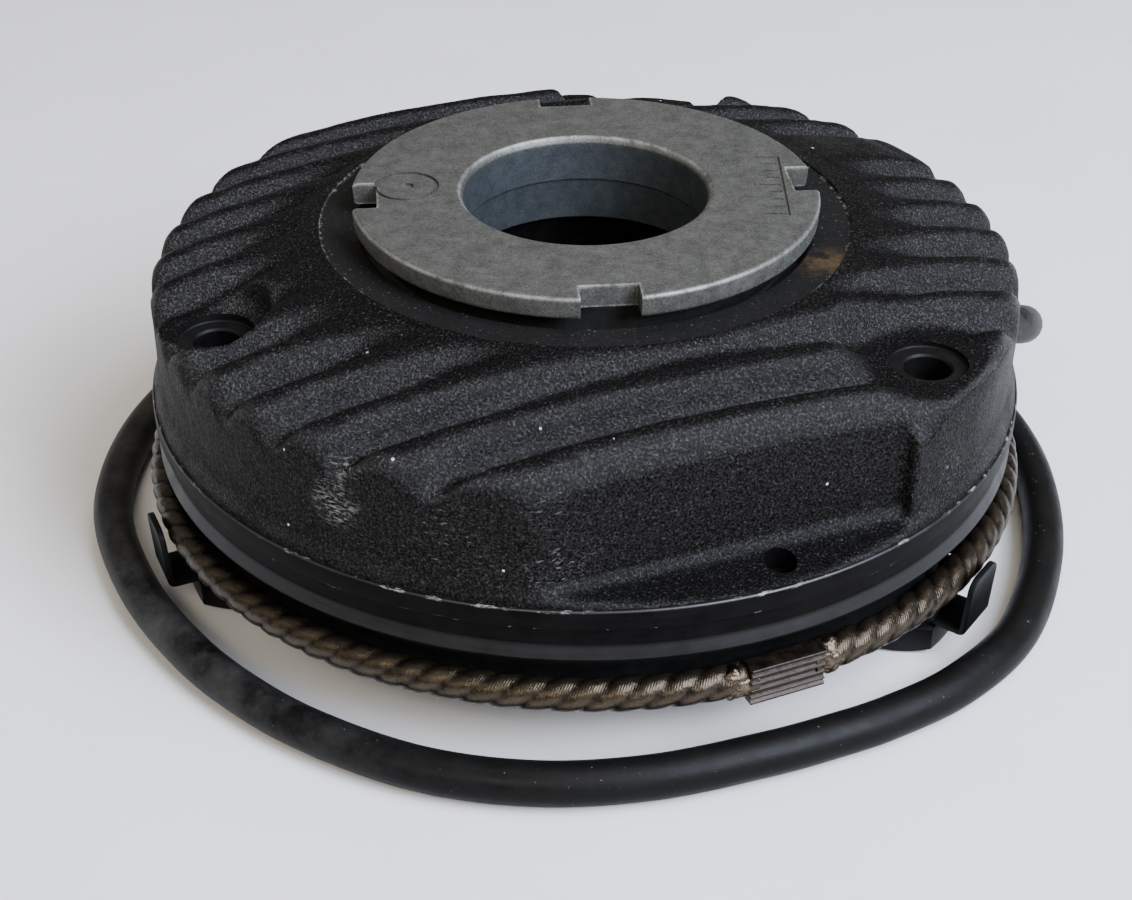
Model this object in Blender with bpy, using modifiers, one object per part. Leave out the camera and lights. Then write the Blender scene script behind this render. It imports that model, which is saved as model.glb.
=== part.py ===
"""Spring-applied electromagnetic disc brake for the end shield of a motor.

Metres, +Z up. The origin lies on the brake's axis in the plane of the end shield, on which the heads of
the three sleeve bolts stand. From there up the stack is: rotor and hub, armature plate, air gap, magnet
housing with its coil and springs, and the adjusting nut that sets the torque.
"""
import math

import bmesh
import bpy
from mathutils import Matrix, Vector

# Fits
TOUCH_GAP = 0.0003          # between pieces that touch
AIR_GAP = 0.0006            # armature plate to magnet housing, with the brake closed
NUT_END_GAP = 0.0005        # under the adjusting nut's sleeve
LOCK_NUT_GAP = 0.0005       # lock nut to armature plate
ROTOR_LIFT = 0.0005         # lower lining above the end shield
CABLE_GAP = 0.0004          # cable to grommet bore

# Widths from the shaft outwards, which add up to the radii below
SHAFT_RADIUS = 0.0100
HUB_WALL = 0.0048           # shaft to the root of the hub's teeth
HUB_TOOTH_HEIGHT = 0.0018
HUB_CLEARANCE = 0.0019      # teeth to the bore of the armature plate
ARMATURE_COVER = 0.0015     # armature plate inside the housing's bore
SPRING_BORE_WALL = 0.0029   # housing's bore to the spring holes
INNER_POLE_WALL = 0.0049    # spring holes to the coil groove
COIL_WIDTH = 0.01335
OUTER_POLE_WALL = 0.0015    # coil groove to the thread of the sleeve bolts
BOLT_EDGE = 0.0075          # bolt circle to the cast wall
BAND_STEP = 0.0015          # machined band outside the cast wall

# Magnet housing
HOUSING_HEIGHT = 0.0305     # pole face to the machined ring under the nut
BAND_HEIGHT = 0.0082
BAND_GROOVE_DEPTH = 0.0010
BAND_GROOVE_WIDTH = 0.0032
BAND_GROOVE_HEIGHT = 0.0021  # groove's lower edge above the pole face
RECESS_MARGIN = 0.0048      # machined ring outside the nut's flange
RECESS_STEP = 0.0004
THREAD_CHAMFER = 0.0006
DOME_DROP = 0.0034          # crest height lost from the machined ring to the shoulder
SHOULDER_RADIUS = 0.0042    # rounding from the dome to the wall

# Cooling ribs, which run parallel across the whole dome
RIB_ANGLE = math.radians(21.0)
RIB_PITCH = 0.0088
RIB_OFFSET = -0.0008        # the crest nearest to the axis
RIB_DEPTH = 0.0042          # valley depth at the rim
RIB_START_MARGIN = 0.0002   # the valleys begin this far outside the machined ring
RIB_FULL_MARGIN = 0.0035    # and have their full depth this far inside the wall
RIB_SIDE_WEIGHT = 1.22      # valleys beside the axis deepen sooner than those along it
RIB_SHARPNESS = 1.25

# Flats on the cast wall, parallel to the ribs, with a ledge at their foot
FRONT_FLAT_CUT = 0.0065     # depth below the cast wall
REAR_FLAT_CUT = 0.0070
FLAT_TO_BOLT = 0.0083       # the flats stop this far before a sleeve bolt, along the ribs
FLAT_ROUNDING = 0.0040
LEDGE_RISE = 0.0098         # ledge above the pole face at the wall
LEDGE_SLOPE = 0.20
LEDGE_HOLE_ALONG = 0.0038
LEDGE_HOLE_OUT = 0.0036     # outside the front flat
LEDGE_HOLE_RADIUS = 0.00215
LEDGE_HOLE_DEPTH = 0.0024

# Sleeve bolts, which carry the brake and guide the armature plate
BOLT_ANGLES = {"1": -35.0, "2": -155.0, "3": 85.0}
HEX_ACROSS_FLATS = 0.0150
HEX_CHAMFER = 0.0007
HEX_CHAMFER_ANGLE = math.radians(30.0)
BOLT_HEAD_HEIGHT = 0.0046
SHANK_RADIUS = 0.00485
SHANK_REACH = 0.0130        # thread length inside the housing
SCREW_HOLE_RADIUS = 0.0032
SEAT_RADIUS = 0.0054        # spot face for the screw head
BOSS_DROP = 0.0054          # top of the front right boss below the machined ring
SEAT_DEPTH = 0.0008
BOSS_FLAT_RADIUS = 0.0070
POCKET_DROP = 0.0068        # floor of the sunken screw pockets below the machined ring
LEFT_POCKET_RADIUS = 0.0080
REAR_POCKET_RADIUS = 0.0135
REAR_POCKET_SHIFT = (0.0046, 0.0062)
POCKET_FILLET = 0.0016

# Retaining clips between sleeve bolt and lock nut
CLIP_THICKNESS = 0.0009
CLIP_EYE_RADIUS = 0.0078
CLIP_TAB_WIDTH = 0.0076
CLIP_TAB_TOP = 0.0125
CLIP_TAB_ROUNDING = 0.0018

# Armature plate with its rope ring
ARMATURE_THICKNESS = 0.0071
ARMATURE_INSET = 0.0016     # rim inside the cast wall
ARMATURE_EDGE_CHAMFER = 0.0005
ROPE_RADIUS = 0.0023
ROPE_RISE = 0.0022          # rope centre above the plate's lower face
ROPE_POINTS = 60
FERRULE_ANGLE = -66.3
FERRULE_LENGTH = 0.0108
FERRULE_HEIGHT = 0.0057
FERRULE_GROOVES = 5
FERRULE_GROOVE_DEPTH = 0.00035

# Rotor and hub
ROTOR_THICKNESS = 0.0102
ROTOR_CLEARANCE = 0.0012    # rotor to the corners of the bolt heads
LINING_THICKNESS = 0.0023
LINING_WIDTH = 0.0155
HUB_TEETH = 20
HUB_TOOTH_ROOT_SHARE = 0.62  # of the pitch
HUB_TOOTH_TIP_SHARE = 0.38
HUB_LENGTH = 0.0180
KEYWAY_WIDTH = 0.0060
KEYWAY_DEPTH = 0.0028

# Adjusting nut
NUT_FLANGE_OVERHANG = 0.0014
NUT_FLANGE_THICKNESS = 0.0033
NUT_STANDOFF = 0.0015       # flange above the machined ring
NUT_SPRING_MARGIN = 0.0018  # sleeve outside the springs
NUT_SLEEVE_LENGTH = 0.0107
NUT_BORE_STEP = 0.00225     # bore inside that of the housing
NUT_BORE_CHAMFER = 0.0007
NUT_RIM_CHAMFER = 0.0006
NUT_NOTCHES = 4
NUT_NOTCH_WIDTH = 0.0080
NUT_NOTCH_DEPTH = 0.0038
NUT_NOTCH_START = -84.0

# Springs and coil
SPRING_COUNT = 6
SPRING_RADIUS = 0.0033      # centre line of the wire
SPRING_WIRE_RADIUS = 0.0005
SPRING_TURNS = 4
SPRING_POINTS_PER_TURN = 7
SPRING_CLOSED_TURNS = 0.4   # how far the end coils close up
COIL_GROOVE_DEPTH = 0.0173
BOBBIN_WALL = 0.0011
POTTING_THICKNESS = 0.0021

# Cable, its exit in the right side of the housing, and its bared end
CABLE_RADIUS = 0.0030
CABLE_EXIT_Y = -0.0011
CABLE_EXIT_RISE = 0.0136    # above the pole face
CABLE_POCKET_DEPTH = 0.0085  # measured from the cast wall
CABLE_POCKET_HEIGHT = 0.0096
CABLE_POCKET_DROP = 0.0009   # its middle below the cable's exit
CABLE_POCKET_WIDTH = 0.0130
GROMMET_RADIUS = 0.0042
GROMMET_FLANGE_RADIUS = 0.0050
GROMMET_FLANGE = 0.0012
LEAD_CHANNEL_RADIUS = 0.0026
CORE_RADIUS = 0.0010
CORE_LENGTH = 0.0150
CORE_SPREAD = 0.0016
SLEEVE_RADIUS = 0.0014
SLEEVE_LENGTH = 0.0080
CABLE_ROUTE = [
    (0.0540, -0.0011, 0.0323), (0.0585, -0.0010, 0.0322), (0.0628, 0.0003, 0.0315),
    (0.0668, 0.0038, 0.0295), (0.0687, 0.0094, 0.0264), (0.0680, 0.0176, 0.0218),
    (0.0650, 0.0275, 0.0176), (0.0602, 0.0382, 0.0154), (0.0523, 0.0495, 0.0140),
    (0.0400, 0.0607, 0.0120), (0.0230, 0.0697, 0.0086), (0.0050, 0.0735, 0.0052),
    (-0.0130, 0.0730, 0.0034),
    (-0.0310, 0.0675, 0.0031), (-0.0480, 0.0570, 0.0031), (-0.0620, 0.0415, 0.0031),
    (-0.0710, 0.0240, 0.0031), (-0.0744, 0.0060, 0.0031), (-0.0728, -0.0120, 0.0031),
    (-0.0651, -0.0300, 0.0031), (-0.0556, -0.0436, 0.0031), (-0.0462, -0.0531, 0.0031),
    (-0.0352, -0.0610, 0.0031), (-0.0207, -0.0677, 0.0031), (-0.0055, -0.0702, 0.0031),
    (0.0095, -0.0688, 0.0031), (0.0238, -0.0645, 0.0031), (0.0325, -0.0611, 0.0031),
    (0.0414, -0.0569, 0.0031), (0.0518, -0.0500, 0.0031), (0.0618, -0.0388, 0.0031),
    (0.0687, -0.0220, 0.0031), (0.0718, -0.0050, 0.0031), (0.0715, 0.0110, 0.0031),
    (0.0675, 0.0270, 0.0031), (0.0600, 0.0400, 0.0031), (0.0520, 0.0480, 0.0031),
]
CABLE_STEP = 0.0120
CABLE_BEND_STEP = 0.0040    # finer steps on the bend at the exit
CABLE_BEND_SPANS = 5        # the bend's share of the route's spans
SPLINE_STEPS = 12

TURN_STEPS = 60             # sides of the large turned pieces, and of the smaller ones
INNER_STEPS = 40
SMALL_STEPS = 16
RIB_LINES = 5               # lines of the dome's grid to a rib, and along the ribs
LINES_ALONG = 14
SHARP_ANGLE = math.radians(28.0)
CUT_MARGIN = 0.0040         # how far a cutter stands out of what it cuts

# Heights above the end shield
CLIP_BOTTOM = BOLT_HEAD_HEIGHT + TOUCH_GAP
LOCK_NUT_BOTTOM = CLIP_BOTTOM + CLIP_THICKNESS + TOUCH_GAP
ARMATURE_BOTTOM = ROTOR_LIFT + ROTOR_THICKNESS + TOUCH_GAP
ARMATURE_TOP = ARMATURE_BOTTOM + ARMATURE_THICKNESS
POLE_FACE = ARMATURE_TOP + AIR_GAP
RING_FACE = POLE_FACE + HOUSING_HEIGHT
NUT_FLANGE_BOTTOM = RING_FACE + NUT_STANDOFF
NUT_TOP = NUT_FLANGE_BOTTOM + NUT_FLANGE_THICKNESS
NUT_BOTTOM = NUT_FLANGE_BOTTOM - NUT_SLEEVE_LENGTH
CHAMBER_FLOOR = NUT_BOTTOM - NUT_END_GAP
BAND_TOP = POLE_FACE + BAND_HEIGHT
CABLE_EXIT_Z = POLE_FACE + CABLE_EXIT_RISE

# Radii that follow from the widths
HEX_CORNER_RADIUS = HEX_ACROSS_FLATS / math.sqrt(3.0)
THREAD_HOLE_RADIUS = SHANK_RADIUS + TOUCH_GAP
SPRING_HOLE_RADIUS = SPRING_RADIUS + SPRING_WIRE_RADIUS + TOUCH_GAP
HUB_ROOT_RADIUS = SHAFT_RADIUS + HUB_WALL
HUB_TIP_RADIUS = HUB_ROOT_RADIUS + HUB_TOOTH_HEIGHT
ARMATURE_BORE_RADIUS = HUB_TIP_RADIUS + HUB_CLEARANCE
SHAFT_BORE_RADIUS = ARMATURE_BORE_RADIUS + ARMATURE_COVER
SPRING_CIRCLE_RADIUS = SHAFT_BORE_RADIUS + SPRING_BORE_WALL + SPRING_HOLE_RADIUS
GROOVE_INNER_RADIUS = SPRING_CIRCLE_RADIUS + SPRING_HOLE_RADIUS + INNER_POLE_WALL
GROOVE_OUTER_RADIUS = GROOVE_INNER_RADIUS + COIL_WIDTH
BOLT_CIRCLE_RADIUS = GROOVE_OUTER_RADIUS + OUTER_POLE_WALL + THREAD_HOLE_RADIUS
HOUSING_RADIUS = BOLT_CIRCLE_RADIUS + BOLT_EDGE
BAND_RADIUS = HOUSING_RADIUS + BAND_STEP
NUT_BORE_RADIUS = SHAFT_BORE_RADIUS - NUT_BORE_STEP
NUT_SLEEVE_RADIUS = SPRING_CIRCLE_RADIUS + SPRING_RADIUS + SPRING_WIRE_RADIUS + NUT_SPRING_MARGIN
NUT_FLANGE_RADIUS = NUT_SLEEVE_RADIUS + NUT_FLANGE_OVERHANG
CHAMBER_RADIUS = NUT_SLEEVE_RADIUS + TOUCH_GAP
RECESS_RADIUS = NUT_FLANGE_RADIUS + RECESS_MARGIN
ARMATURE_RADIUS = HOUSING_RADIUS - ARMATURE_INSET
ROPE_RING_RADIUS = ARMATURE_RADIUS + TOUCH_GAP + ROPE_RADIUS
ROTOR_RADIUS = BOLT_CIRCLE_RADIUS - HEX_CORNER_RADIUS - ROTOR_CLEARANCE
SHOULDER_START = HOUSING_RADIUS - SHOULDER_RADIUS
FRONT_FLAT = HOUSING_RADIUS - FRONT_FLAT_CUT
REAR_FLAT = HOUSING_RADIUS - REAR_FLAT_CUT
CABLE_POCKET_FLOOR = HOUSING_RADIUS - CABLE_POCKET_DEPTH

MATERIALS = {
    "black_cast_iron": ((0.020, 0.020, 0.023), 0.62, 0.30),
    "zinc_die_casting": ((0.330, 0.340, 0.345), 0.42, 0.90),
    "black_steel": ((0.030, 0.030, 0.032), 0.45, 0.80),
    "bright_steel": ((0.420, 0.415, 0.400), 0.35, 1.00),
    "spring_steel": ((0.260, 0.250, 0.235), 0.38, 1.00),
    "bronze_rope": ((0.210, 0.150, 0.095), 0.38, 0.95),
    "copper_winding": ((0.600, 0.230, 0.090), 0.40, 0.90),
    "bobbin_plastic": ((0.080, 0.075, 0.065), 0.55, 0.00),
    "potting_resin": ((0.035, 0.032, 0.030), 0.35, 0.00),
    "friction_lining": ((0.110, 0.095, 0.075), 0.90, 0.00),
    "cast_aluminium": ((0.480, 0.480, 0.475), 0.45, 0.95),
    "black_rubber": ((0.018, 0.018, 0.018), 0.70, 0.00),
    "cable_sheath": ((0.028, 0.028, 0.030), 0.60, 0.00),
    "core_blue": ((0.030, 0.075, 0.260), 0.45, 0.00),
    "core_brown": ((0.120, 0.045, 0.020), 0.45, 0.00),
    "tinned_sleeve": ((0.620, 0.610, 0.590), 0.30, 1.00),
}


def clear_scene():
    for item in list(bpy.data.objects):
        bpy.data.objects.remove(item, do_unlink=True)


def new_collection(name):
    collection = bpy.data.collections.new(name)
    bpy.context.scene.collection.children.link(collection)
    return collection


def surface(name):
    """The Principled material of one finish, made once."""
    found = bpy.data.materials.get(name)
    if found:
        return found
    colour, roughness, metallic = MATERIALS[name]
    made = bpy.data.materials.new(name)
    made.use_nodes = True
    shader = made.node_tree.nodes["Principled BSDF"]
    shader.inputs["Base Color"].default_value = (*colour, 1.0)
    shader.inputs["Roughness"].default_value = roughness
    shader.inputs["Metallic"].default_value = metallic
    return made


def add_object(name, mesh, collection, matrix=Matrix()):
    item = bpy.data.objects.new(name, mesh)
    collection.objects.link(item)
    item.matrix_world = matrix
    return item


def evaluated_mesh(item):
    """The object's mesh with its modifiers worked in."""
    bpy.context.view_layer.update()
    graph = bpy.context.evaluated_depsgraph_get()
    return bpy.data.meshes.new_from_object(item.evaluated_get(graph), depsgraph=graph)


def turned(name, outline, steps=TURN_STEPS, matrix=Matrix()):
    """A turned solid. The outline gives (radius, height) down the outer side; a ring's outline is closed."""
    mesh = bpy.data.meshes.new(name)
    points = [(radius, 0.0, height) for radius, height in outline]
    edges = [(i, i + 1) for i in range(len(points) - 1)]
    if outline[0][0] > 0.0:
        edges.append((len(points) - 1, 0))
    mesh.from_pydata(points, edges, [])
    item = add_object(name, mesh, CUTTERS, matrix)
    screw = item.modifiers.new("Turn", "SCREW")
    screw.axis = "Z"
    screw.angle = math.tau
    screw.steps = steps
    screw.render_steps = steps
    screw.use_merge_vertices = True
    screw.merge_threshold = 0.00001
    return item


def ring(name, inner, outer, low, high, steps=TURN_STEPS, matrix=Matrix()):
    return turned(name, [(outer, high), (outer, low), (inner, low), (inner, high)], steps, matrix)


def rod(name, radius, low, high, steps=SMALL_STEPS, matrix=Matrix()):
    return turned(name, [(0.0, high), (radius, high), (radius, low), (0.0, low)], steps, matrix)


def box(name, size, centre, matrix=Matrix()):
    mesh = bpy.data.meshes.new(name)
    shape = bmesh.new()
    bmesh.ops.create_cube(shape, size=1.0)
    bmesh.ops.scale(shape, vec=size, verts=shape.verts)
    bmesh.ops.translate(shape, vec=centre, verts=shape.verts)
    shape.to_mesh(mesh)
    shape.free()
    return add_object(name, mesh, CUTTERS, matrix)


def hexagon(name, low, high):
    """A hexagonal prism with two flats square to +X, the way the bolt heads face outwards."""
    mesh = bpy.data.meshes.new(name)
    shape = bmesh.new()
    bmesh.ops.create_cone(
        shape, cap_ends=True, segments=6, radius1=HEX_CORNER_RADIUS, radius2=HEX_CORNER_RADIUS,
        depth=high - low)
    bmesh.ops.translate(shape, vec=(0.0, 0.0, (low + high) / 2.0), verts=shape.verts)
    shape.to_mesh(mesh)
    shape.free()
    return add_object(name, mesh, CUTTERS)


def extruded(name, outline, depth, matrix=Matrix()):
    """A closed flat outline as a curve, given its thickness, then made a mesh that can cut and be cut."""
    curve = bpy.data.curves.new(name, "CURVE")
    curve.dimensions = "2D"
    curve.fill_mode = "BOTH"
    curve.extrude = depth / 2.0
    spline = curve.splines.new("POLY")
    spline.points.add(len(outline) - 1)
    for point, place in zip(spline.points, outline):
        point.co = (place[0], place[1], 0.0, 1.0)
    spline.use_cyclic_u = True
    return curve_to_mesh(name, curve, matrix)


def tube(name, path, radius):
    """A round bar along a list of points, with closed ends."""
    curve = bpy.data.curves.new(name, "CURVE")
    curve.dimensions = "3D"
    curve.bevel_depth = radius
    curve.bevel_resolution = 2
    curve.use_fill_caps = True
    spline = curve.splines.new("POLY")
    spline.points.add(len(path) - 1)
    for point, place in zip(spline.points, path):
        point.co = (*place, 1.0)
    return curve_to_mesh(name, curve, Matrix())


def curve_to_mesh(name, curve, matrix):
    item = add_object(name + "_curve", curve, CUTTERS, matrix)
    mesh = evaluated_mesh(item)
    mesh.name = name
    shape = bmesh.new()
    shape.from_mesh(mesh)
    bmesh.ops.remove_doubles(shape, verts=shape.verts, dist=0.00001)
    bmesh.ops.recalc_face_normals(shape, faces=shape.faces)
    shape.to_mesh(mesh)
    shape.free()
    bpy.data.objects.remove(item, do_unlink=True)
    return add_object(name, mesh, CUTTERS, matrix)


def combine(item, tool, operation):
    """A Boolean with one cutter, which stays in the cutters' collection."""
    step = item.modifiers.new(tool.name, "BOOLEAN")
    step.operation = operation
    step.solver = "EXACT"
    step.object = tool
    tool.hide_render = True
    tool.display_type = "WIRE"


def cut(item, tool):
    combine(item, tool, "DIFFERENCE")


def join(item, tool):
    combine(item, tool, "UNION")


def finish(item, name, finish_name):
    """The finished piece under its own name: modifiers worked in, round faces smooth, one material."""
    mesh = evaluated_mesh(item)
    mesh.name = name
    mesh.materials.clear()
    mesh.materials.append(surface(finish_name))
    mesh.shade_smooth()
    mesh.set_sharp_from_angle(angle=SHARP_ANGLE)
    matrix = item.matrix_world.copy()
    bpy.data.objects.remove(item, do_unlink=True)
    return add_object(name, mesh, PIECES, matrix)


def repeat(item, name, matrix):
    """Another copy of a finished piece, sharing its mesh."""
    return add_object(name, item.data, PIECES, matrix)


def arc(centre_x, centre_y, radius, start, end, steps):
    """Points along an arc, with both ends, angles in degrees."""
    points = []
    for i in range(steps + 1):
        angle = math.radians(start + (end - start) * i / steps)
        points.append((centre_x + radius * math.cos(angle), centre_y + radius * math.sin(angle)))
    return points


def at_azimuth(degrees, radius=0.0, height=0.0):
    """A frame turned about the brake's axis, whose X points outwards."""
    return Matrix.Rotation(math.radians(degrees), 4, "Z") @ Matrix.Translation((radius, 0.0, height))


def parented(item, empty):
    """Hangs a piece on its joint's empty without moving it."""
    item.parent = empty
    item.matrix_parent_inverse = empty.matrix_world.inverted()


def joint_empty(name, location=(0.0, 0.0, 0.0)):
    empty = bpy.data.objects.new(name, None)
    PIECES.objects.link(empty)
    empty.location = location
    bpy.context.view_layer.update()
    return empty


# Magnet housing

def crest_height(radius):
    """Height of the ridge crests, which fall from the machined ring to the shoulder."""
    share = (radius ** 2 - RECESS_RADIUS ** 2) / (SHOULDER_START ** 2 - RECESS_RADIUS ** 2)
    return RING_FACE + RECESS_STEP - DOME_DROP * share


def smooth_step(value):
    value = min(max(value, 0.0), 1.0)
    return value * value * (3.0 - 2.0 * value)


def bolt_in_ribs(number):
    """A sleeve bolt's place along and across the ribs."""
    angle = math.radians(BOLT_ANGLES[number]) - RIB_ANGLE
    return BOLT_CIRCLE_RADIUS * math.cos(angle), BOLT_CIRCLE_RADIUS * math.sin(angle)


def dome_height(along, across):
    """Height of the cast top at a place given along and across the ribs."""
    reach = math.hypot(along, across * RIB_SIDE_WEIGHT)
    start = RECESS_RADIUS + RIB_START_MARGIN
    full = HOUSING_RADIUS - RIB_FULL_MARGIN
    depth = RIB_DEPTH * smooth_step((reach - start) / (full - start))
    wave = 0.5 - 0.5 * math.cos(math.tau * (across - RIB_OFFSET) / RIB_PITCH)
    height = crest_height(math.hypot(along, across)) - depth * wave ** RIB_SHARPNESS
    boss_along, boss_across = bolt_in_ribs("1")
    away = math.hypot(along - boss_along, across - boss_across)
    blend = smooth_step((away - BOSS_FLAT_RADIUS) / BOSS_FLAT_RADIUS)
    return (RING_FACE - BOSS_DROP) * (1.0 - blend) + height * blend


def ribbed_block():
    """A block whose top is the ribbed dome, wider than the housing."""
    half = BAND_RADIUS + CUT_MARGIN
    lines_across = round(2.0 * half / RIB_PITCH * RIB_LINES)
    shape = bmesh.new()
    bmesh.ops.create_grid(shape, x_segments=LINES_ALONG, y_segments=lines_across, size=half)
    for vert in shape.verts:
        vert.co.z = dome_height(vert.co.x, vert.co.y)
    top = list(shape.faces)
    walls = bmesh.ops.extrude_face_region(shape, geom=top)
    lowest = [part for part in walls["geom"] if isinstance(part, bmesh.types.BMVert)]
    for vert in lowest:
        vert.co.z = POLE_FACE - CUT_MARGIN
    bmesh.ops.recalc_face_normals(shape, faces=shape.faces)
    mesh = bpy.data.meshes.new("ribbed_block")
    shape.to_mesh(mesh)
    shape.free()
    return add_object("ribbed_block", mesh, CUTTERS, Matrix.Rotation(RIB_ANGLE, 4, "Z"))


def housing_envelope():
    """The turned outside of the casting: shoulder, cast wall, band with its groove, pole face."""
    shoulder_z = crest_height(SHOULDER_START) - SHOULDER_RADIUS
    groove_low = POLE_FACE + BAND_GROOVE_HEIGHT
    groove_high = groove_low + BAND_GROOVE_WIDTH
    outline = [(0.0, RING_FACE + CUT_MARGIN), (RECESS_RADIUS + CUT_MARGIN, RING_FACE + CUT_MARGIN)]
    outline += arc(SHOULDER_START, shoulder_z, SHOULDER_RADIUS, 80.0, 0.0, 5)
    outline += [
        (HOUSING_RADIUS, BAND_TOP),
        (BAND_RADIUS, BAND_TOP),
        (BAND_RADIUS, groove_high),
        (BAND_RADIUS - BAND_GROOVE_DEPTH, groove_high),
        (BAND_RADIUS - BAND_GROOVE_DEPTH, groove_low),
        (BAND_RADIUS, groove_low),
        (BAND_RADIUS, POLE_FACE + BAND_GROOVE_DEPTH / 2.0),
        (BAND_RADIUS - BAND_GROOVE_DEPTH / 2.0, POLE_FACE),
        (0.0, POLE_FACE),
    ]
    return turned("housing_envelope", outline)


def flat_cutter(name, distance, end, side):
    """Cuts one flat with its rounded upper edge and the sloping ledge at its foot."""
    across = Vector((-math.sin(RIB_ANGLE), math.cos(RIB_ANGLE), 0.0)) * side
    up = Vector((0.0, 0.0, 1.0))
    along = across.cross(up)
    start = -(HOUSING_RADIUS + CUT_MARGIN)
    rib_direction = Vector((math.cos(RIB_ANGLE), math.sin(RIB_ANGLE), 0.0))
    centre = rib_direction * (start + end) / 2.0
    matrix = Matrix.Translation(centre) @ Matrix((across, up, along)).transposed().to_4x4()
    edge_z = crest_height(distance - FLAT_ROUNDING) - FLAT_ROUNDING + TOUCH_GAP
    far = BAND_RADIUS + CUT_MARGIN
    top = RING_FACE + CUT_MARGIN
    outline = [(distance, POLE_FACE + LEDGE_RISE)]
    outline += arc(distance - FLAT_ROUNDING, edge_z, FLAT_ROUNDING, 0.0, 90.0, 4)
    outline += [
        (distance - FLAT_ROUNDING, top),
        (far, top),
        (far, POLE_FACE + LEDGE_RISE - LEDGE_SLOPE * (far - distance)),
    ]
    return extruded(name, outline, end - start, matrix)


def nut_chamber():
    top = RING_FACE + CUT_MARGIN + RECESS_STEP
    return turned("nut_chamber", [
        (0.0, top),
        (RECESS_RADIUS, top),
        (RECESS_RADIUS, RING_FACE),
        (CHAMBER_RADIUS + THREAD_CHAMFER, RING_FACE),
        (CHAMBER_RADIUS, RING_FACE - THREAD_CHAMFER),
        (CHAMBER_RADIUS, CHAMBER_FLOOR),
        (SHAFT_BORE_RADIUS, CHAMBER_FLOOR),
        (SHAFT_BORE_RADIUS, POLE_FACE - CUT_MARGIN),
        (0.0, POLE_FACE - CUT_MARGIN),
    ])


def screw_hole(name, azimuth, seat_z):
    """Screw head seat, screw hole and the sleeve bolt's thread below it."""
    top = RING_FACE + CUT_MARGIN
    thread_top = POLE_FACE + SHANK_REACH + TOUCH_GAP
    return turned(name, [
        (0.0, top),
        (SEAT_RADIUS, top),
        (SEAT_RADIUS, seat_z),
        (SCREW_HOLE_RADIUS, seat_z),
        (SCREW_HOLE_RADIUS, thread_top),
        (THREAD_HOLE_RADIUS, thread_top),
        (THREAD_HOLE_RADIUS, POLE_FACE - CUT_MARGIN),
        (0.0, POLE_FACE - CUT_MARGIN),
    ], SMALL_STEPS, at_azimuth(azimuth, BOLT_CIRCLE_RADIUS))


def screw_pocket(name, azimuth, radius, shift=(0.0, 0.0)):
    """A sunken round pocket with a filleted floor, which gives a screw its flat seat."""
    top = RING_FACE + CUT_MARGIN
    floor = RING_FACE - POCKET_DROP
    outline = [(0.0, top), (radius, top)]
    outline += arc(radius - POCKET_FILLET, floor + POCKET_FILLET, POCKET_FILLET, 0.0, -90.0, 3)
    outline.append((0.0, floor))
    matrix = Matrix.Translation((*shift, 0.0)) @ at_azimuth(azimuth, BOLT_CIRCLE_RADIUS)
    return turned(name, outline, SMALL_STEPS, matrix)


def cable_pocket():
    """The recess in the right side, in which the cable turns down to the rear."""
    out = BAND_RADIUS + CUT_MARGIN
    width = CABLE_POCKET_WIDTH
    item = box(
        "cable_pocket",
        (out - CABLE_POCKET_FLOOR, width, CABLE_POCKET_HEIGHT),
        ((out + CABLE_POCKET_FLOOR) / 2.0, CABLE_EXIT_Y - GROMMET_FLANGE_RADIUS + width / 2.0,
         CABLE_EXIT_Z - CABLE_POCKET_DROP))
    rounding = item.modifiers.new("Rounding", "BEVEL")
    rounding.width = CABLE_POCKET_HEIGHT / 4.0
    rounding.segments = 2
    return item


def radial_bar(name, radius, start, end):
    """A round bar along +X at the cable's exit."""
    matrix = Matrix.Translation((0.0, CABLE_EXIT_Y, CABLE_EXIT_Z)) @ Matrix.Rotation(math.pi / 2.0, 4, "Y")
    return rod(name, radius, start, end, SMALL_STEPS, matrix)


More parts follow.
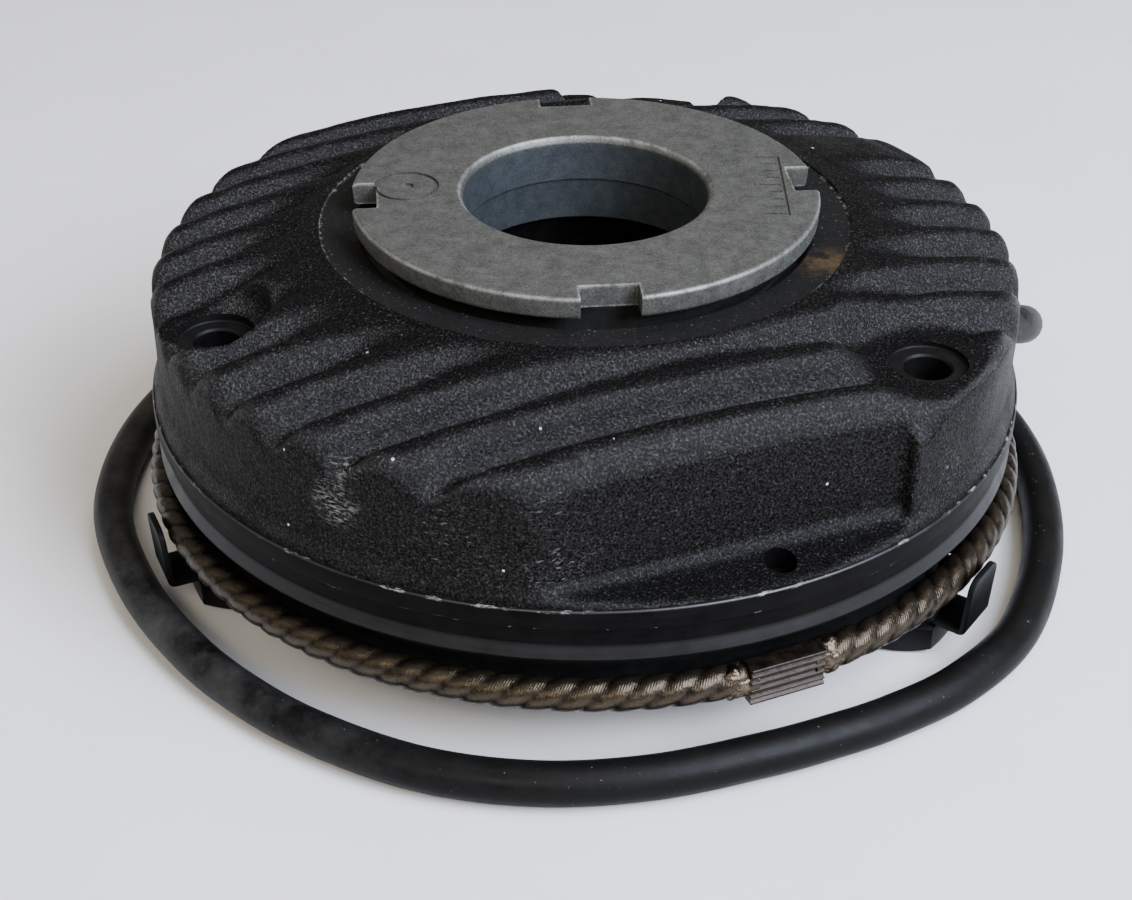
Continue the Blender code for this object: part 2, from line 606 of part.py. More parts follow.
def make_housing():
    housing = housing_envelope()
    combine(housing, ribbed_block(), "INTERSECT")
    cut(housing, flat_cutter("front_flat", FRONT_FLAT, bolt_in_ribs("1")[0] - FLAT_TO_BOLT, -1.0))
    cut(housing, flat_cutter("rear_flat", REAR_FLAT, bolt_in_ribs("3")[0] - FLAT_TO_BOLT, 1.0))
    cut(housing, nut_chamber())
    groove_top = POLE_FACE + COIL_GROOVE_DEPTH
    cut(housing, ring("coil_groove", GROOVE_INNER_RADIUS, GROOVE_OUTER_RADIUS, POLE_FACE - CUT_MARGIN, groove_top))
    cut(housing, screw_pocket("left_pocket", BOLT_ANGLES["2"], LEFT_POCKET_RADIUS))
    cut(housing, screw_pocket("rear_pocket", BOLT_ANGLES["3"], REAR_POCKET_RADIUS, REAR_POCKET_SHIFT))
    boss_seat = RING_FACE - BOSS_DROP - SEAT_DEPTH
    pocket_seat = RING_FACE - POCKET_DROP - SEAT_DEPTH
    cut(housing, screw_hole("screw_hole_1", BOLT_ANGLES["1"], boss_seat))
    cut(housing, screw_hole("screw_hole_2", BOLT_ANGLES["2"], pocket_seat))
    cut(housing, screw_hole("screw_hole_3", BOLT_ANGLES["3"], pocket_seat))
    for i in range(SPRING_COUNT):
        matrix = at_azimuth(360.0 * (i + 0.5) / SPRING_COUNT, SPRING_CIRCLE_RADIUS)
        hole = rod(f"spring_hole_{i + 1}", SPRING_HOLE_RADIUS, POLE_FACE - CUT_MARGIN,
                   CHAMBER_FLOOR + NUT_END_GAP, SMALL_STEPS, matrix)
        cut(housing, hole)
    ledge_z = POLE_FACE + LEDGE_RISE
    hole_place = Matrix.Rotation(RIB_ANGLE, 4, "Z") @ Matrix.Translation(
        (LEDGE_HOLE_ALONG, -(FRONT_FLAT + LEDGE_HOLE_OUT), 0.0))
    ledge_hole = rod("ledge_hole", LEDGE_HOLE_RADIUS, ledge_z - LEDGE_SLOPE * LEDGE_HOLE_OUT - LEDGE_HOLE_DEPTH,
                     ledge_z + CUT_MARGIN, SMALL_STEPS, hole_place)
    cut(housing, ledge_hole)
    cut(housing, cable_pocket())
    cut(housing, radial_bar("grommet_hole", GROMMET_RADIUS + TOUCH_GAP, grommet_start() - TOUCH_GAP,
                            CABLE_POCKET_FLOOR + CUT_MARGIN))
    cut(housing, radial_bar("lead_channel", LEAD_CHANNEL_RADIUS, GROOVE_OUTER_RADIUS - CUT_MARGIN / 2.0,
                            CABLE_POCKET_FLOOR))
    return finish(housing, "magnet_housing", "black_cast_iron")


# Cable and grommet

def grommet_start():
    """How deep the grommet's barrel reaches: half way from its flange to the coil groove."""
    return (CABLE_POCKET_FLOOR + GROOVE_OUTER_RADIUS) / 2.0


def make_grommet():
    flange_start = CABLE_POCKET_FLOOR + TOUCH_GAP
    bore = CABLE_RADIUS + CABLE_GAP
    matrix = Matrix.Translation((0.0, CABLE_EXIT_Y, CABLE_EXIT_Z)) @ Matrix.Rotation(math.pi / 2.0, 4, "Y")
    outer = flange_start + GROMMET_FLANGE
    floor = grommet_start() + GROMMET_FLANGE / 2.0
    flange = min(GROMMET_FLANGE_RADIUS, CABLE_POCKET_HEIGHT / 2.0 - CABLE_POCKET_DROP) - TOUCH_GAP
    item = turned("grommet", [
        (bore, outer),
        (flange, outer),
        (flange, flange_start),
        (GROMMET_RADIUS, flange_start),
        (GROMMET_RADIUS, grommet_start()),
        (LEAD_CHANNEL_RADIUS - GROMMET_FLANGE / 2.0, grommet_start()),
        (LEAD_CHANNEL_RADIUS - GROMMET_FLANGE / 2.0, floor),
        (bore, floor),
    ], SMALL_STEPS, matrix)
    return finish(item, "cable_grommet", "black_rubber")


def spline_point(before, start, end, after, share):
    """A point between start and end on a Catmull-Rom curve."""
    square = share * share
    cube = square * share
    return 0.5 * (
        2.0 * start
        + (end - before) * share
        + (2.0 * before - 5.0 * start + 4.0 * end - after) * square
        + (3.0 * start - before - 3.0 * end + after) * cube
    )


def cable_line():
    """The cable's centre line as many close points along a smooth curve through its route."""
    route = [Vector(point) for point in CABLE_ROUTE]
    ends = [2.0 * route[0] - route[1]] + route + [2.0 * route[-1] - route[-2]]
    line = []
    for i in range(len(route) - 1):
        for step in range(SPLINE_STEPS):
            line.append(spline_point(*ends[i:i + 4], step / SPLINE_STEPS))
    line.append(route[-1])
    return line


def spaced(line, spacing):
    """Points of a line at equal steps, with both ends."""
    kept = [line[0]]
    travelled = 0.0
    for previous, point in zip(line, line[1:]):
        travelled += (point - previous).length
        if travelled >= spacing:
            kept.append(point)
            travelled = 0.0
    if (line[-1] - kept[-1]).length < spacing / 3.0:
        kept.pop()
    kept.append(line[-1])
    return kept


def make_cable():
    line = cable_line()
    bend = SPLINE_STEPS * CABLE_BEND_SPANS
    path = spaced(line[:bend + 1], CABLE_BEND_STEP)[:-1] + spaced(line[bend:], CABLE_STEP)
    finish(tube("sheath", path, CABLE_RADIUS), "cable", "cable_sheath")
    end = line[-1]
    direction = (line[-1] - line[-SPLINE_STEPS]).normalized()
    side = direction.cross(Vector((0.0, 0.0, 1.0))).normalized()
    down = Vector((0.0, 0.0, CORE_RADIUS + SLEEVE_RADIUS - CABLE_RADIUS)) / 2.0
    for number, sign, colour in (("1", 1.0, "core_brown"), ("2", -1.0, "core_blue")):
        sideways = side * sign * (CORE_RADIUS + TOUCH_GAP)
        first = end + direction * TOUCH_GAP + sideways
        bare = first + direction * CORE_LENGTH + side * sign * CORE_SPREAD + down
        middle = (first + bare) / 2.0 + down / 4.0
        finish(tube("core", [first, middle, bare], CORE_RADIUS), f"cable_core_{number}", colour)
        heading = (bare - middle).normalized()
        tip = bare + heading * TOUCH_GAP
        finish(tube("wire_end", [tip, tip + heading * SLEEVE_LENGTH], SLEEVE_RADIUS),
               f"wire_end_sleeve_{number}", "tinned_sleeve")


# Bolts, nuts and clips

def chamfered_hexagon(name, low, high, turned_end):
    """A hexagon whose corners are turned off at its low or its high end."""
    item = hexagon(name, low, high)
    beyond = HEX_CORNER_RADIUS + TOUCH_GAP
    inner = HEX_ACROSS_FLATS / 2.0 - HEX_CHAMFER
    rise = (beyond - inner) * math.tan(HEX_CHAMFER_ANGLE)
    if turned_end == "low":
        outline = [(0.0, high + TOUCH_GAP), (beyond, high + TOUCH_GAP), (beyond, low + rise), (inner, low), (0.0, low)]
    else:
        outline = [(0.0, high), (inner, high), (beyond, high - rise), (beyond, low - TOUCH_GAP), (0.0, low - TOUCH_GAP)]
    combine(item, turned(name + "_chamfer", outline, INNER_STEPS), "INTERSECT")
    return item


def make_sleeve_bolts():
    bolt = chamfered_hexagon("bolt_head", 0.0, BOLT_HEAD_HEIGHT, "low")
    shank_top = POLE_FACE + SHANK_REACH
    join(bolt, rod("bolt_shank", SHANK_RADIUS, BOLT_HEAD_HEIGHT / 2.0, shank_top))
    cut(bolt, rod("bolt_bore", SCREW_HOLE_RADIUS, -CUT_MARGIN, shank_top + CUT_MARGIN))
    place_at_bolts(finish(bolt, "sleeve_bolt_1", "black_steel"), "sleeve_bolt_")


def make_lock_nuts():
    high = ARMATURE_BOTTOM - LOCK_NUT_GAP
    nut = chamfered_hexagon("lock_nut", LOCK_NUT_BOTTOM, high, "high")
    cut(nut, rod("lock_nut_bore", SHANK_RADIUS + TOUCH_GAP, 0.0, high + CUT_MARGIN))
    place_at_bolts(finish(nut, "lock_nut_1", "black_steel"), "lock_nut_")


def make_clips():
    """Flat eyes round the sleeve bolts, each with an arm whose tab stands up outside the rope ring."""
    tab_inner = ROPE_RING_RADIUS + ROPE_RADIUS + TOUCH_GAP
    reach = tab_inner + CLIP_THICKNESS - BOLT_CIRCLE_RADIUS
    high = CLIP_BOTTOM + CLIP_THICKNESS
    clip = rod("clip_eye", CLIP_EYE_RADIUS, CLIP_BOTTOM, high)
    arm = box("clip_arm", (reach, CLIP_TAB_WIDTH, CLIP_THICKNESS),
              (reach / 2.0, 0.0, (CLIP_BOTTOM + high) / 2.0))
    join(clip, arm)
    tab_height = CLIP_TAB_TOP - CLIP_BOTTOM
    half_width = CLIP_TAB_WIDTH / 2.0
    round_x = half_width - CLIP_TAB_ROUNDING
    round_y = tab_height - CLIP_TAB_ROUNDING
    outline = [(-half_width, 0.0), (half_width, 0.0)]
    outline += arc(round_x, round_y, CLIP_TAB_ROUNDING, 0.0, 90.0, 3)
    outline += arc(-round_x, round_y, CLIP_TAB_ROUNDING, 90.0, 180.0, 3)
    stand = Matrix(((0.0, 0.0, 1.0, reach - CLIP_THICKNESS / 2.0), (1.0, 0.0, 0.0, 0.0),
                    (0.0, 1.0, 0.0, CLIP_BOTTOM), (0.0, 0.0, 0.0, 1.0)))
    join(clip, extruded("clip_tab", outline, CLIP_THICKNESS, stand))
    cut(clip, rod("clip_hole", SHANK_RADIUS + TOUCH_GAP, 0.0, high + CUT_MARGIN))
    place_at_bolts(finish(clip, "retaining_clip_1", "black_steel"), "retaining_clip_")


def place_at_bolts(piece, stem):
    """The finished piece at the first bolt, and its copies at the others."""
    for number, azimuth in BOLT_ANGLES.items():
        matrix = at_azimuth(azimuth, BOLT_CIRCLE_RADIUS)
        if number == "1":
            piece.matrix_world = matrix
        else:
            repeat(piece, stem + number, matrix)


# Armature plate, rope ring and ferrule

def make_armature():
    chamfer = ARMATURE_EDGE_CHAMFER
    plate = turned("plate", [
        (ARMATURE_RADIUS - chamfer, ARMATURE_TOP),
        (ARMATURE_RADIUS, ARMATURE_TOP - chamfer),
        (ARMATURE_RADIUS, ARMATURE_BOTTOM + chamfer),
        (ARMATURE_RADIUS - chamfer, ARMATURE_BOTTOM),
        (ARMATURE_BORE_RADIUS, ARMATURE_BOTTOM),
        (ARMATURE_BORE_RADIUS, ARMATURE_TOP),
    ])
    slot_width = 2.0 * (SHANK_RADIUS + TOUCH_GAP)
    length = BAND_RADIUS + CUT_MARGIN - BOLT_CIRCLE_RADIUS
    middle = (ARMATURE_BOTTOM + ARMATURE_TOP) / 2.0
    for number, azimuth in BOLT_ANGLES.items():
        matrix = at_azimuth(azimuth, BOLT_CIRCLE_RADIUS)
        hole = rod(f"guide_hole_{number}", slot_width / 2.0, ARMATURE_BOTTOM - CUT_MARGIN,
                   ARMATURE_TOP + CUT_MARGIN, SMALL_STEPS, matrix)
        slot = box(f"guide_slot_{number}", (length, slot_width, ARMATURE_THICKNESS + 2.0 * CUT_MARGIN),
                   (length / 2.0, 0.0, middle), matrix)
        cut(plate, hole)
        cut(plate, slot)
    return finish(plate, "armature_plate", "black_steel")


def make_rope():
    """The rope ring, open by the ferrule that joins its ends."""
    height = ARMATURE_BOTTOM + ROPE_RISE
    gap = math.degrees((FERRULE_LENGTH / 2.0 + TOUCH_GAP) / ROPE_RING_RADIUS)
    start = FERRULE_ANGLE + gap
    span = 360.0 - 2.0 * gap
    line = arc(0.0, 0.0, ROPE_RING_RADIUS, start, start + span, ROPE_POINTS)
    path = [(x, y, height) for x, y in line]
    return finish(tube("rope", path, ROPE_RADIUS), "rope_ring", "bronze_rope")


def make_ferrule():
    """The crimped ferrule: a bent bar with grooves pressed into its outer face."""
    height = ARMATURE_BOTTOM + ROPE_RISE
    half = math.degrees(FERRULE_LENGTH / 2.0 / ROPE_RING_RADIUS)
    inner = ROPE_RING_RADIUS - ROPE_RADIUS + TOUCH_GAP / 2.0
    outer = ROPE_RING_RADIUS + ROPE_RADIUS
    outline = arc(0.0, 0.0, outer, FERRULE_ANGLE - half, FERRULE_ANGLE + half, 6)
    outline += arc(0.0, 0.0, inner, FERRULE_ANGLE + half, FERRULE_ANGLE - half, 6)
    item = extruded("ferrule", outline, FERRULE_HEIGHT, Matrix.Translation((0.0, 0.0, height)))
    pitch = FERRULE_HEIGHT / (FERRULE_GROOVES + 1.0)
    width = pitch / 2.0
    for i in range(FERRULE_GROOVES):
        centre = height + (i - (FERRULE_GROOVES - 1) / 2.0) * pitch
        groove = ring(f"ferrule_groove_{i + 1}", outer - FERRULE_GROOVE_DEPTH, outer + CUT_MARGIN,
                      centre - width / 2.0, centre + width / 2.0)
        cut(item, groove)
    return finish(item, "rope_ferrule", "bronze_rope")


# Rotor, linings and hub

def tooth_outline(root, tip, narrowing):
    """A ring of straight-sided teeth. The narrowing is taken off each flank, and may be negative."""
    outline = []
    pitch = 360.0 / HUB_TEETH
    for i in range(HUB_TEETH):
        centre = i * pitch
        flank = math.degrees(narrowing / root)
        root_half = pitch * HUB_TOOTH_ROOT_SHARE / 2.0 - flank
        tip_half = pitch * HUB_TOOTH_TIP_SHARE / 2.0 - flank
        for radius, offset in ((root, -root_half), (tip, -tip_half), (tip, tip_half), (root, root_half)):
            angle = math.radians(centre + offset)
            outline.append((radius * math.cos(angle), radius * math.sin(angle)))
    return outline


def make_rotor():
    low = ROTOR_LIFT
    high = low + ROTOR_THICKNESS
    web_low = low + LINING_THICKNESS + TOUCH_GAP
    web_high = high - LINING_THICKNESS - TOUCH_GAP
    boss = ROTOR_RADIUS - LINING_WIDTH - TOUCH_GAP
    bore = HUB_ROOT_RADIUS - CUT_MARGIN
    rotor = turned("rotor", [
        (boss, high), (boss, web_high), (ROTOR_RADIUS, web_high), (ROTOR_RADIUS, web_low),
        (boss, web_low), (boss, low), (bore, low), (bore, high),
    ], INNER_STEPS)
    root = HUB_ROOT_RADIUS + TOUCH_GAP
    splines = extruded("rotor_splines", tooth_outline(root, HUB_TIP_RADIUS + TOUCH_GAP, -TOUCH_GAP),
                       ROTOR_THICKNESS + 2.0 * CUT_MARGIN, Matrix.Translation((0.0, 0.0, (low + high) / 2.0)))
    cut(rotor, splines)
    inner = ROTOR_RADIUS - LINING_WIDTH
    lower = ring("lower", inner, ROTOR_RADIUS, low, low + LINING_THICKNESS, INNER_STEPS)
    upper = ring("upper", inner, ROTOR_RADIUS, high - LINING_THICKNESS, high, INNER_STEPS)
    return [
        finish(rotor, "rotor_disc", "cast_aluminium"),
        finish(lower, "friction_lining_lower", "friction_lining"),
        finish(upper, "friction_lining_upper", "friction_lining"),
    ]


def make_hub():
    low = ROTOR_LIFT
    hub = extruded("hub", tooth_outline(HUB_ROOT_RADIUS, HUB_TIP_RADIUS, 0.0), HUB_LENGTH,
                   Matrix.Translation((0.0, 0.0, low + HUB_LENGTH / 2.0)))
    cut(hub, rod("hub_bore", SHAFT_RADIUS, low - CUT_MARGIN, low + HUB_LENGTH + CUT_MARGIN, INNER_STEPS))
    reach = SHAFT_RADIUS + KEYWAY_DEPTH
    cut(hub, box("keyway", (reach, KEYWAY_WIDTH, HUB_LENGTH + 2.0 * CUT_MARGIN),
                 (reach / 2.0, 0.0, low + HUB_LENGTH / 2.0)))
    return finish(hub, "toothed_hub", "bright_steel")


# Adjusting nut, springs and coil

def make_adjusting_nut():
    rim = NUT_RIM_CHAMFER
    nut = turned("nut", [
        (NUT_FLANGE_RADIUS - rim, NUT_TOP),
        (NUT_FLANGE_RADIUS, NUT_TOP - rim),
        (NUT_FLANGE_RADIUS, NUT_FLANGE_BOTTOM + rim),
        (NUT_FLANGE_RADIUS - rim, NUT_FLANGE_BOTTOM),
        (NUT_SLEEVE_RADIUS, NUT_FLANGE_BOTTOM),
        (NUT_SLEEVE_RADIUS, NUT_BOTTOM),
        (NUT_BORE_RADIUS, NUT_BOTTOM),
        (NUT_BORE_RADIUS, NUT_TOP - NUT_BORE_CHAMFER),
        (NUT_BORE_RADIUS + NUT_BORE_CHAMFER, NUT_TOP),
    ])
    depth = NUT_NOTCH_DEPTH + CUT_MARGIN
    centre = NUT_FLANGE_RADIUS - NUT_NOTCH_DEPTH + depth / 2.0
    height = NUT_FLANGE_THICKNESS + CUT_MARGIN
    for i in range(NUT_NOTCHES):
        azimuth = NUT_NOTCH_START + 360.0 * i / NUT_NOTCHES
        notch = box(f"notch_{i + 1}", (depth, NUT_NOTCH_WIDTH, height),
                    (centre, 0.0, NUT_FLANGE_BOTTOM + height / 2.0), at_azimuth(azimuth))
        cut(nut, notch)
    return finish(nut, "adjusting_nut", "zinc_die_casting")


def make_springs():
    """Pressure springs between the nut's lower face and the armature plate, the ends drawn flat."""
    low = ARMATURE_TOP + TOUCH_GAP + SPRING_WIRE_RADIUS
    high = NUT_BOTTOM - TOUCH_GAP - SPRING_WIRE_RADIUS
    count = SPRING_TURNS * SPRING_POINTS_PER_TURN
    path = []
    for i in range(count + 1):
        share = i / count
        angle = math.tau * SPRING_TURNS * share
        height = low + (high - low) * smooth_ends(share)
        path.append((SPRING_RADIUS * math.cos(angle), SPRING_RADIUS * math.sin(angle), height))
    spring = finish(tube("spring", path, SPRING_WIRE_RADIUS), "pressure_spring_1", "spring_steel")
    for i in range(SPRING_COUNT):
        matrix = at_azimuth(360.0 * (i + 0.5) / SPRING_COUNT, SPRING_CIRCLE_RADIUS)
        if i == 0:
            spring.matrix_world = matrix
        else:
            repeat(spring, f"pressure_spring_{i + 1}", matrix)


def smooth_ends(share):
    """Rises slowly over the first and last turns, where a pressure spring's coils lie close."""
    closed = SPRING_CLOSED_TURNS / SPRING_TURNS
    return share - closed * math.sin(math.tau * share)


def make_coil():
    top = POLE_FACE + COIL_GROOVE_DEPTH - TOUCH_GAP
    inner = GROOVE_INNER_RADIUS + TOUCH_GAP
    outer = GROOVE_OUTER_RADIUS - TOUCH_GAP
    potting_low = POLE_FACE + TOUCH_GAP
    low = potting_low + POTTING_THICKNESS + TOUCH_GAP
    tube_outer = inner + BOBBIN_WALL
    bobbin = turned("bobbin", [
        (outer, top), (outer, top - BOBBIN_WALL), (tube_outer, top - BOBBIN_WALL),
        (tube_outer, low + BOBBIN_WALL), (outer, low + BOBBIN_WALL), (outer, low), (inner, low), (inner, top),
    ], INNER_STEPS)
    winding = ring("winding", tube_outer + TOUCH_GAP, outer - BOBBIN_WALL / 2.0,
                   low + BOBBIN_WALL + TOUCH_GAP, top - BOBBIN_WALL - TOUCH_GAP, INNER_STEPS)
    potting = ring("potting", inner, outer, potting_low, potting_low + POTTING_THICKNESS, INNER_STEPS)
    finish(bobbin, "coil_bobbin", "bobbin_plastic")
    finish(winding, "coil_winding", "copper_winding")
    finish(potting, "potting_ring", "potting_resin")


def build():
    make_housing()
    make_coil()
    make_springs()
    make_grommet()
    make_cable()
    make_sleeve_bolts()
    make_lock_nuts()
    make_clips()
    nut_axis = joint_empty("nut_axis", (0.0, 0.0, NUT_BOTTOM))
    parented(make_adjusting_nut(), nut_axis)
    armature_axis = joint_empty("armature_axis", (0.0, 0.0, ARMATURE_BOTTOM))
    for piece in (make_armature(), make_rope(), make_ferrule()):
        parented(piece, armature_axis)
    hub_axis = joint_empty("hub_axis", (0.0, 0.0, ROTOR_LIFT))
    parented(make_hub(), hub_axis)
    rotor_axis = joint_empty("rotor_axis", (0.0, 0.0, ROTOR_LIFT))
    rotor_axis.parent = hub_axis
    rotor_axis.location = (0.0, 0.0, 0.0)
    bpy.context.view_layer.update()
    for piece in make_rotor():
        parented(piece, rotor_axis)


clear_scene()
PIECES = new_collection("electromagnetic_disc_brake")
CUTTERS = new_collection("cutters")
build()
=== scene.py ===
import math

import bmesh
import bpy
from bpy.props import FloatProperty, FloatVectorProperty, PointerProperty
from mathutils import Matrix, Vector, noise


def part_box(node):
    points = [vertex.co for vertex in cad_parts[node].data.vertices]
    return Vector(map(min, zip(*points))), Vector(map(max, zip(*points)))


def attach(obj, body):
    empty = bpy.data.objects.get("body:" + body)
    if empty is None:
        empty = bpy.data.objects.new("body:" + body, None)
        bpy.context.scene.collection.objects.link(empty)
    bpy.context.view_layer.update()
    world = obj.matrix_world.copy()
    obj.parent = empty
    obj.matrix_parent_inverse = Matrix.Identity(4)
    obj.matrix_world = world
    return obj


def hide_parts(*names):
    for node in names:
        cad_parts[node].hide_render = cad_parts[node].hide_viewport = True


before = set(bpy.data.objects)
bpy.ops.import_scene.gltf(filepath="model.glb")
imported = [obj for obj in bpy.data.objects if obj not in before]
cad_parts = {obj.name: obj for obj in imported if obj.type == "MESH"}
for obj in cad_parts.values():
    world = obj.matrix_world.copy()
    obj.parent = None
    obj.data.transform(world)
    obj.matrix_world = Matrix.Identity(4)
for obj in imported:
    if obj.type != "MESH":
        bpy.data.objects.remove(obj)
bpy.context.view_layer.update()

bl_info = {
    "name": "Electromagnetic disc brake",
    "version": (1, 0, 0),
    "blender": (4, 5, 0),
    "location": "3D View > Sidebar > Disc brake",
    "description": "Cast, turned, stranded and moulded surfaces for the disc brake, and its studio",
    "category": "Object",
}

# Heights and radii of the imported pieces, in metres
HOUSING_LOW, HOUSING_HIGH = (corner.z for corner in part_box("magnet_housing"))
NUT_LOW, NUT_HIGH = (corner.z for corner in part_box("adjusting_nut"))
PLATE_LOW, PLATE_HIGH = (corner.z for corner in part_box("armature_plate"))
ROTOR_LOW, ROTOR_HIGH = (corner.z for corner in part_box("rotor_disc"))
HUB_LOW, HUB_HIGH = (corner.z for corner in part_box("toothed_hub"))
ROTOR_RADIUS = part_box("rotor_disc")[1].x
LOCK_NUT_LOW, LOCK_NUT_HIGH = (corner.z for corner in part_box("lock_nut_1"))
HEAD_LOW, BOLT_HIGH = (corner.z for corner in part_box("sleeve_bolt_1"))
CLIP_LOW, CLIP_HIGH = (corner.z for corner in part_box("retaining_clip_1"))

RECESS_STEP = 0.0004
RING_FACE = HOUSING_HIGH - RECESS_STEP
RECESS_RADIUS = 0.0388
CHAMBER_RADIUS = 0.0329
CHAMBER_FLOOR = NUT_LOW - 0.0005
SHAFT_BORE_RADIUS = 0.0200
DOME_DROP = 0.0034
SHOULDER = 0.0042
BOLT_CIRCLE = 0.0560
BOLT_AZIMUTHS = {"1": -35.0, "2": -155.0, "3": 85.0}
SCREW_HOLE_RADIUS = 0.0032
SHANK_RADIUS = 0.00485
TOUCH_GAP = 0.0003
BAND_HEIGHT = 0.0082
LEDGE_RISE = 0.0098
LEDGE_SLOPE = 0.20
FLAT_ROUNDING = 0.0040
BOSS_DROP = 0.0054
POCKET_DROP = 0.0068
CABLE_EXIT = Vector((0.0540, -0.0011, 0.0323))
CABLE_POCKET_FLOOR = 0.0550
PLATE_RADIUS = 0.0619
FLANGE = 0.0033              # thickness of the adjusting nut's flange
NOTCH_AZIMUTH = -84.0
ROPE_RISE = 0.0022
ROPE_JOINT = -66.3           # azimuth of the plate that joins the rope's ends
CLEAR = 0.0040               # how far a cutter stands out of what it cuts
ROUND_STEPS = 180
HOLE_STEPS = 40

CABLE_ROUTE = [
    (0.0540, -0.0011, 0.0323), (0.0585, -0.0010, 0.0322), (0.0628, 0.0003, 0.0315),
    (0.0668, 0.0038, 0.0295), (0.0687, 0.0094, 0.0264), (0.0680, 0.0176, 0.0218),
    (0.0650, 0.0275, 0.0176), (0.0602, 0.0382, 0.0154), (0.0523, 0.0495, 0.0140),
    (0.0400, 0.0607, 0.0120), (0.0230, 0.0697, 0.0086), (0.0050, 0.0735, 0.0052),
    (-0.0130, 0.0730, 0.0034),
    (-0.0310, 0.0675, 0.0031), (-0.0480, 0.0570, 0.0031), (-0.0620, 0.0415, 0.0031),
    (-0.0710, 0.0240, 0.0031), (-0.0744, 0.0060, 0.0031), (-0.0728, -0.0120, 0.0031),
    (-0.0651, -0.0300, 0.0031), (-0.0556, -0.0436, 0.0031), (-0.0462, -0.0531, 0.0031),
    (-0.0352, -0.0610, 0.0031), (-0.0207, -0.0677, 0.0031), (-0.0055, -0.0702, 0.0031),
    (0.0095, -0.0688, 0.0031), (0.0238, -0.0645, 0.0031), (0.0325, -0.0611, 0.0031),
    (0.0414, -0.0569, 0.0031), (0.0518, -0.0500, 0.0031), (0.0618, -0.0388, 0.0031),
    (0.0687, -0.0220, 0.0031), (0.0718, -0.0050, 0.0031), (0.0715, 0.0110, 0.0031),
    (0.0675, 0.0270, 0.0031), (0.0600, 0.0400, 0.0031), (0.0520, 0.0480, 0.0031),
]
SPLINE_STEPS = 12


def linear(hex_colour):
    """An sRGB hex colour as linear red, green and blue."""
    channels = [int(hex_colour[i:i + 2], 16) / 255.0 for i in (0, 2, 4)]
    return tuple(c / 12.92 if c <= 0.04045 else ((c + 0.055) / 1.055) ** 2.4 for c in channels)


def length(name, description, default):
    return FloatProperty(name=name, description=description, default=default, unit="LENGTH", precision=5)


def colour(name, description, hex_colour):
    return FloatVectorProperty(name=name, description=description, default=linear(hex_colour),
                               subtype="COLOR", size=3, min=0.0, max=1.0)


class HousingSettings(bpy.types.PropertyGroup):
    wall_radius: length("Wall radius", "Radius of the cast wall", 0.0635)
    band_radius: length("Band radius", "Radius of the turned band at the foot", 0.0650)
    rib_pitch: length("Rib pitch", "Distance from crest to crest", 0.0088)
    rib_depth: length("Rib depth", "Depth of the valleys at the rim", 0.0042)
    rib_angle: FloatProperty(name="Rib angle", description="Direction of the ribs from the X axis",
                             default=math.radians(21.0), subtype="ANGLE")
    grain: length("Skin grain", "Voxel size of the cast skin", 0.00066)
    paint: colour("Paint", "Black paint in the light", "121110")
    paint_dark: colour("Paint in the creases", "Black paint in the grain's hollows", "040404")
    band: colour("Band", "Turned and blackened iron", "100f0f")


class NutSettings(bpy.types.PropertyGroup):
    flange_radius: length("Flange radius", "Outer radius of the adjusting nut", 0.0340)
    bore_radius: length("Bore radius", "Bore of the adjusting nut", 0.01775)
    notch_width: length("Notch width", "Width of the four spanner notches", 0.0080)
    notch_depth: length("Notch depth", "Depth of the notches from the rim", 0.0038)
    zinc: colour("Zinc", "Die casting in the light", "6a6b65")
    zinc_dark: colour("Dull zinc", "Mottled darker areas", "444541")


class RopeSettings(bpy.types.PropertyGroup):
    ring_radius: length("Ring radius", "Radius of the rope's centre line", 0.0645)
    rope_radius: length("Rope radius", "Radius of the rope over its three strands", 0.0023)
    pitch: length("Lay length", "Length of one turn of the strands", 0.0116)
    # Painted light: wire is also the painted glint on the strands' crests, and wire_dark the painted shade in their
    # seams along with oily dirt
    wire: colour("Wire", "Tarnished wire in the light", "4f4638")
    wire_dark: colour("Tarnish", "Oily dirt between the strands", "1a1511")


class CableSettings(bpy.types.PropertyGroup):
    radius: length("Radius", "Radius of the sheath", 0.0030)
    core_radius: length("Core radius", "Radius of an insulated core", 0.0010)
    core_length: length("Core length", "Bared length of the cores", 0.0150)
    sleeve_length: length("Sleeve length", "Length of the crimped wire ends", 0.0080)
    sheath: colour("Sheath", "Black-grey sheath", "131312")


class SteelSettings(bpy.types.PropertyGroup):
    across_flats: length("Across flats", "Width of the sleeve bolts' hexagons", 0.0150)
    head_height: length("Head height", "Height of the sleeve bolts' heads", 0.0046)
    clip_width: length("Clip width", "Width of the retaining clips' tabs", 0.0076)
    black: colour("Black steel", "Blackened steel", "0d0e0e")
    lining: colour("Lining", "Friction lining", "5c554a")


# Mesh tools

def finished_mesh(item):
    """The object's mesh with its modifiers worked in."""
    bpy.context.view_layer.update()
    graph = bpy.context.evaluated_depsgraph_get()
    return bpy.data.meshes.new_from_object(item.evaluated_get(graph), depsgraph=graph)


def add_piece(name, shape, *materials, sharp=40.0):
    """An object from a bmesh or a mesh, smooth but for edges sharper than the given angle in degrees."""
    if isinstance(shape, bmesh.types.BMesh):
        mesh = bpy.data.meshes.new(name)
        shape.to_mesh(mesh)
        shape.free()
    else:
        mesh = shape
        mesh.name = name
    if materials:
        mesh.materials.clear()
        for material in materials:
            mesh.materials.append(material)
    mesh.shade_smooth()
    mesh.set_sharp_from_angle(angle=math.radians(sharp))
    item = bpy.data.objects.new(name, mesh)
    bpy.context.scene.collection.objects.link(item)
    return item


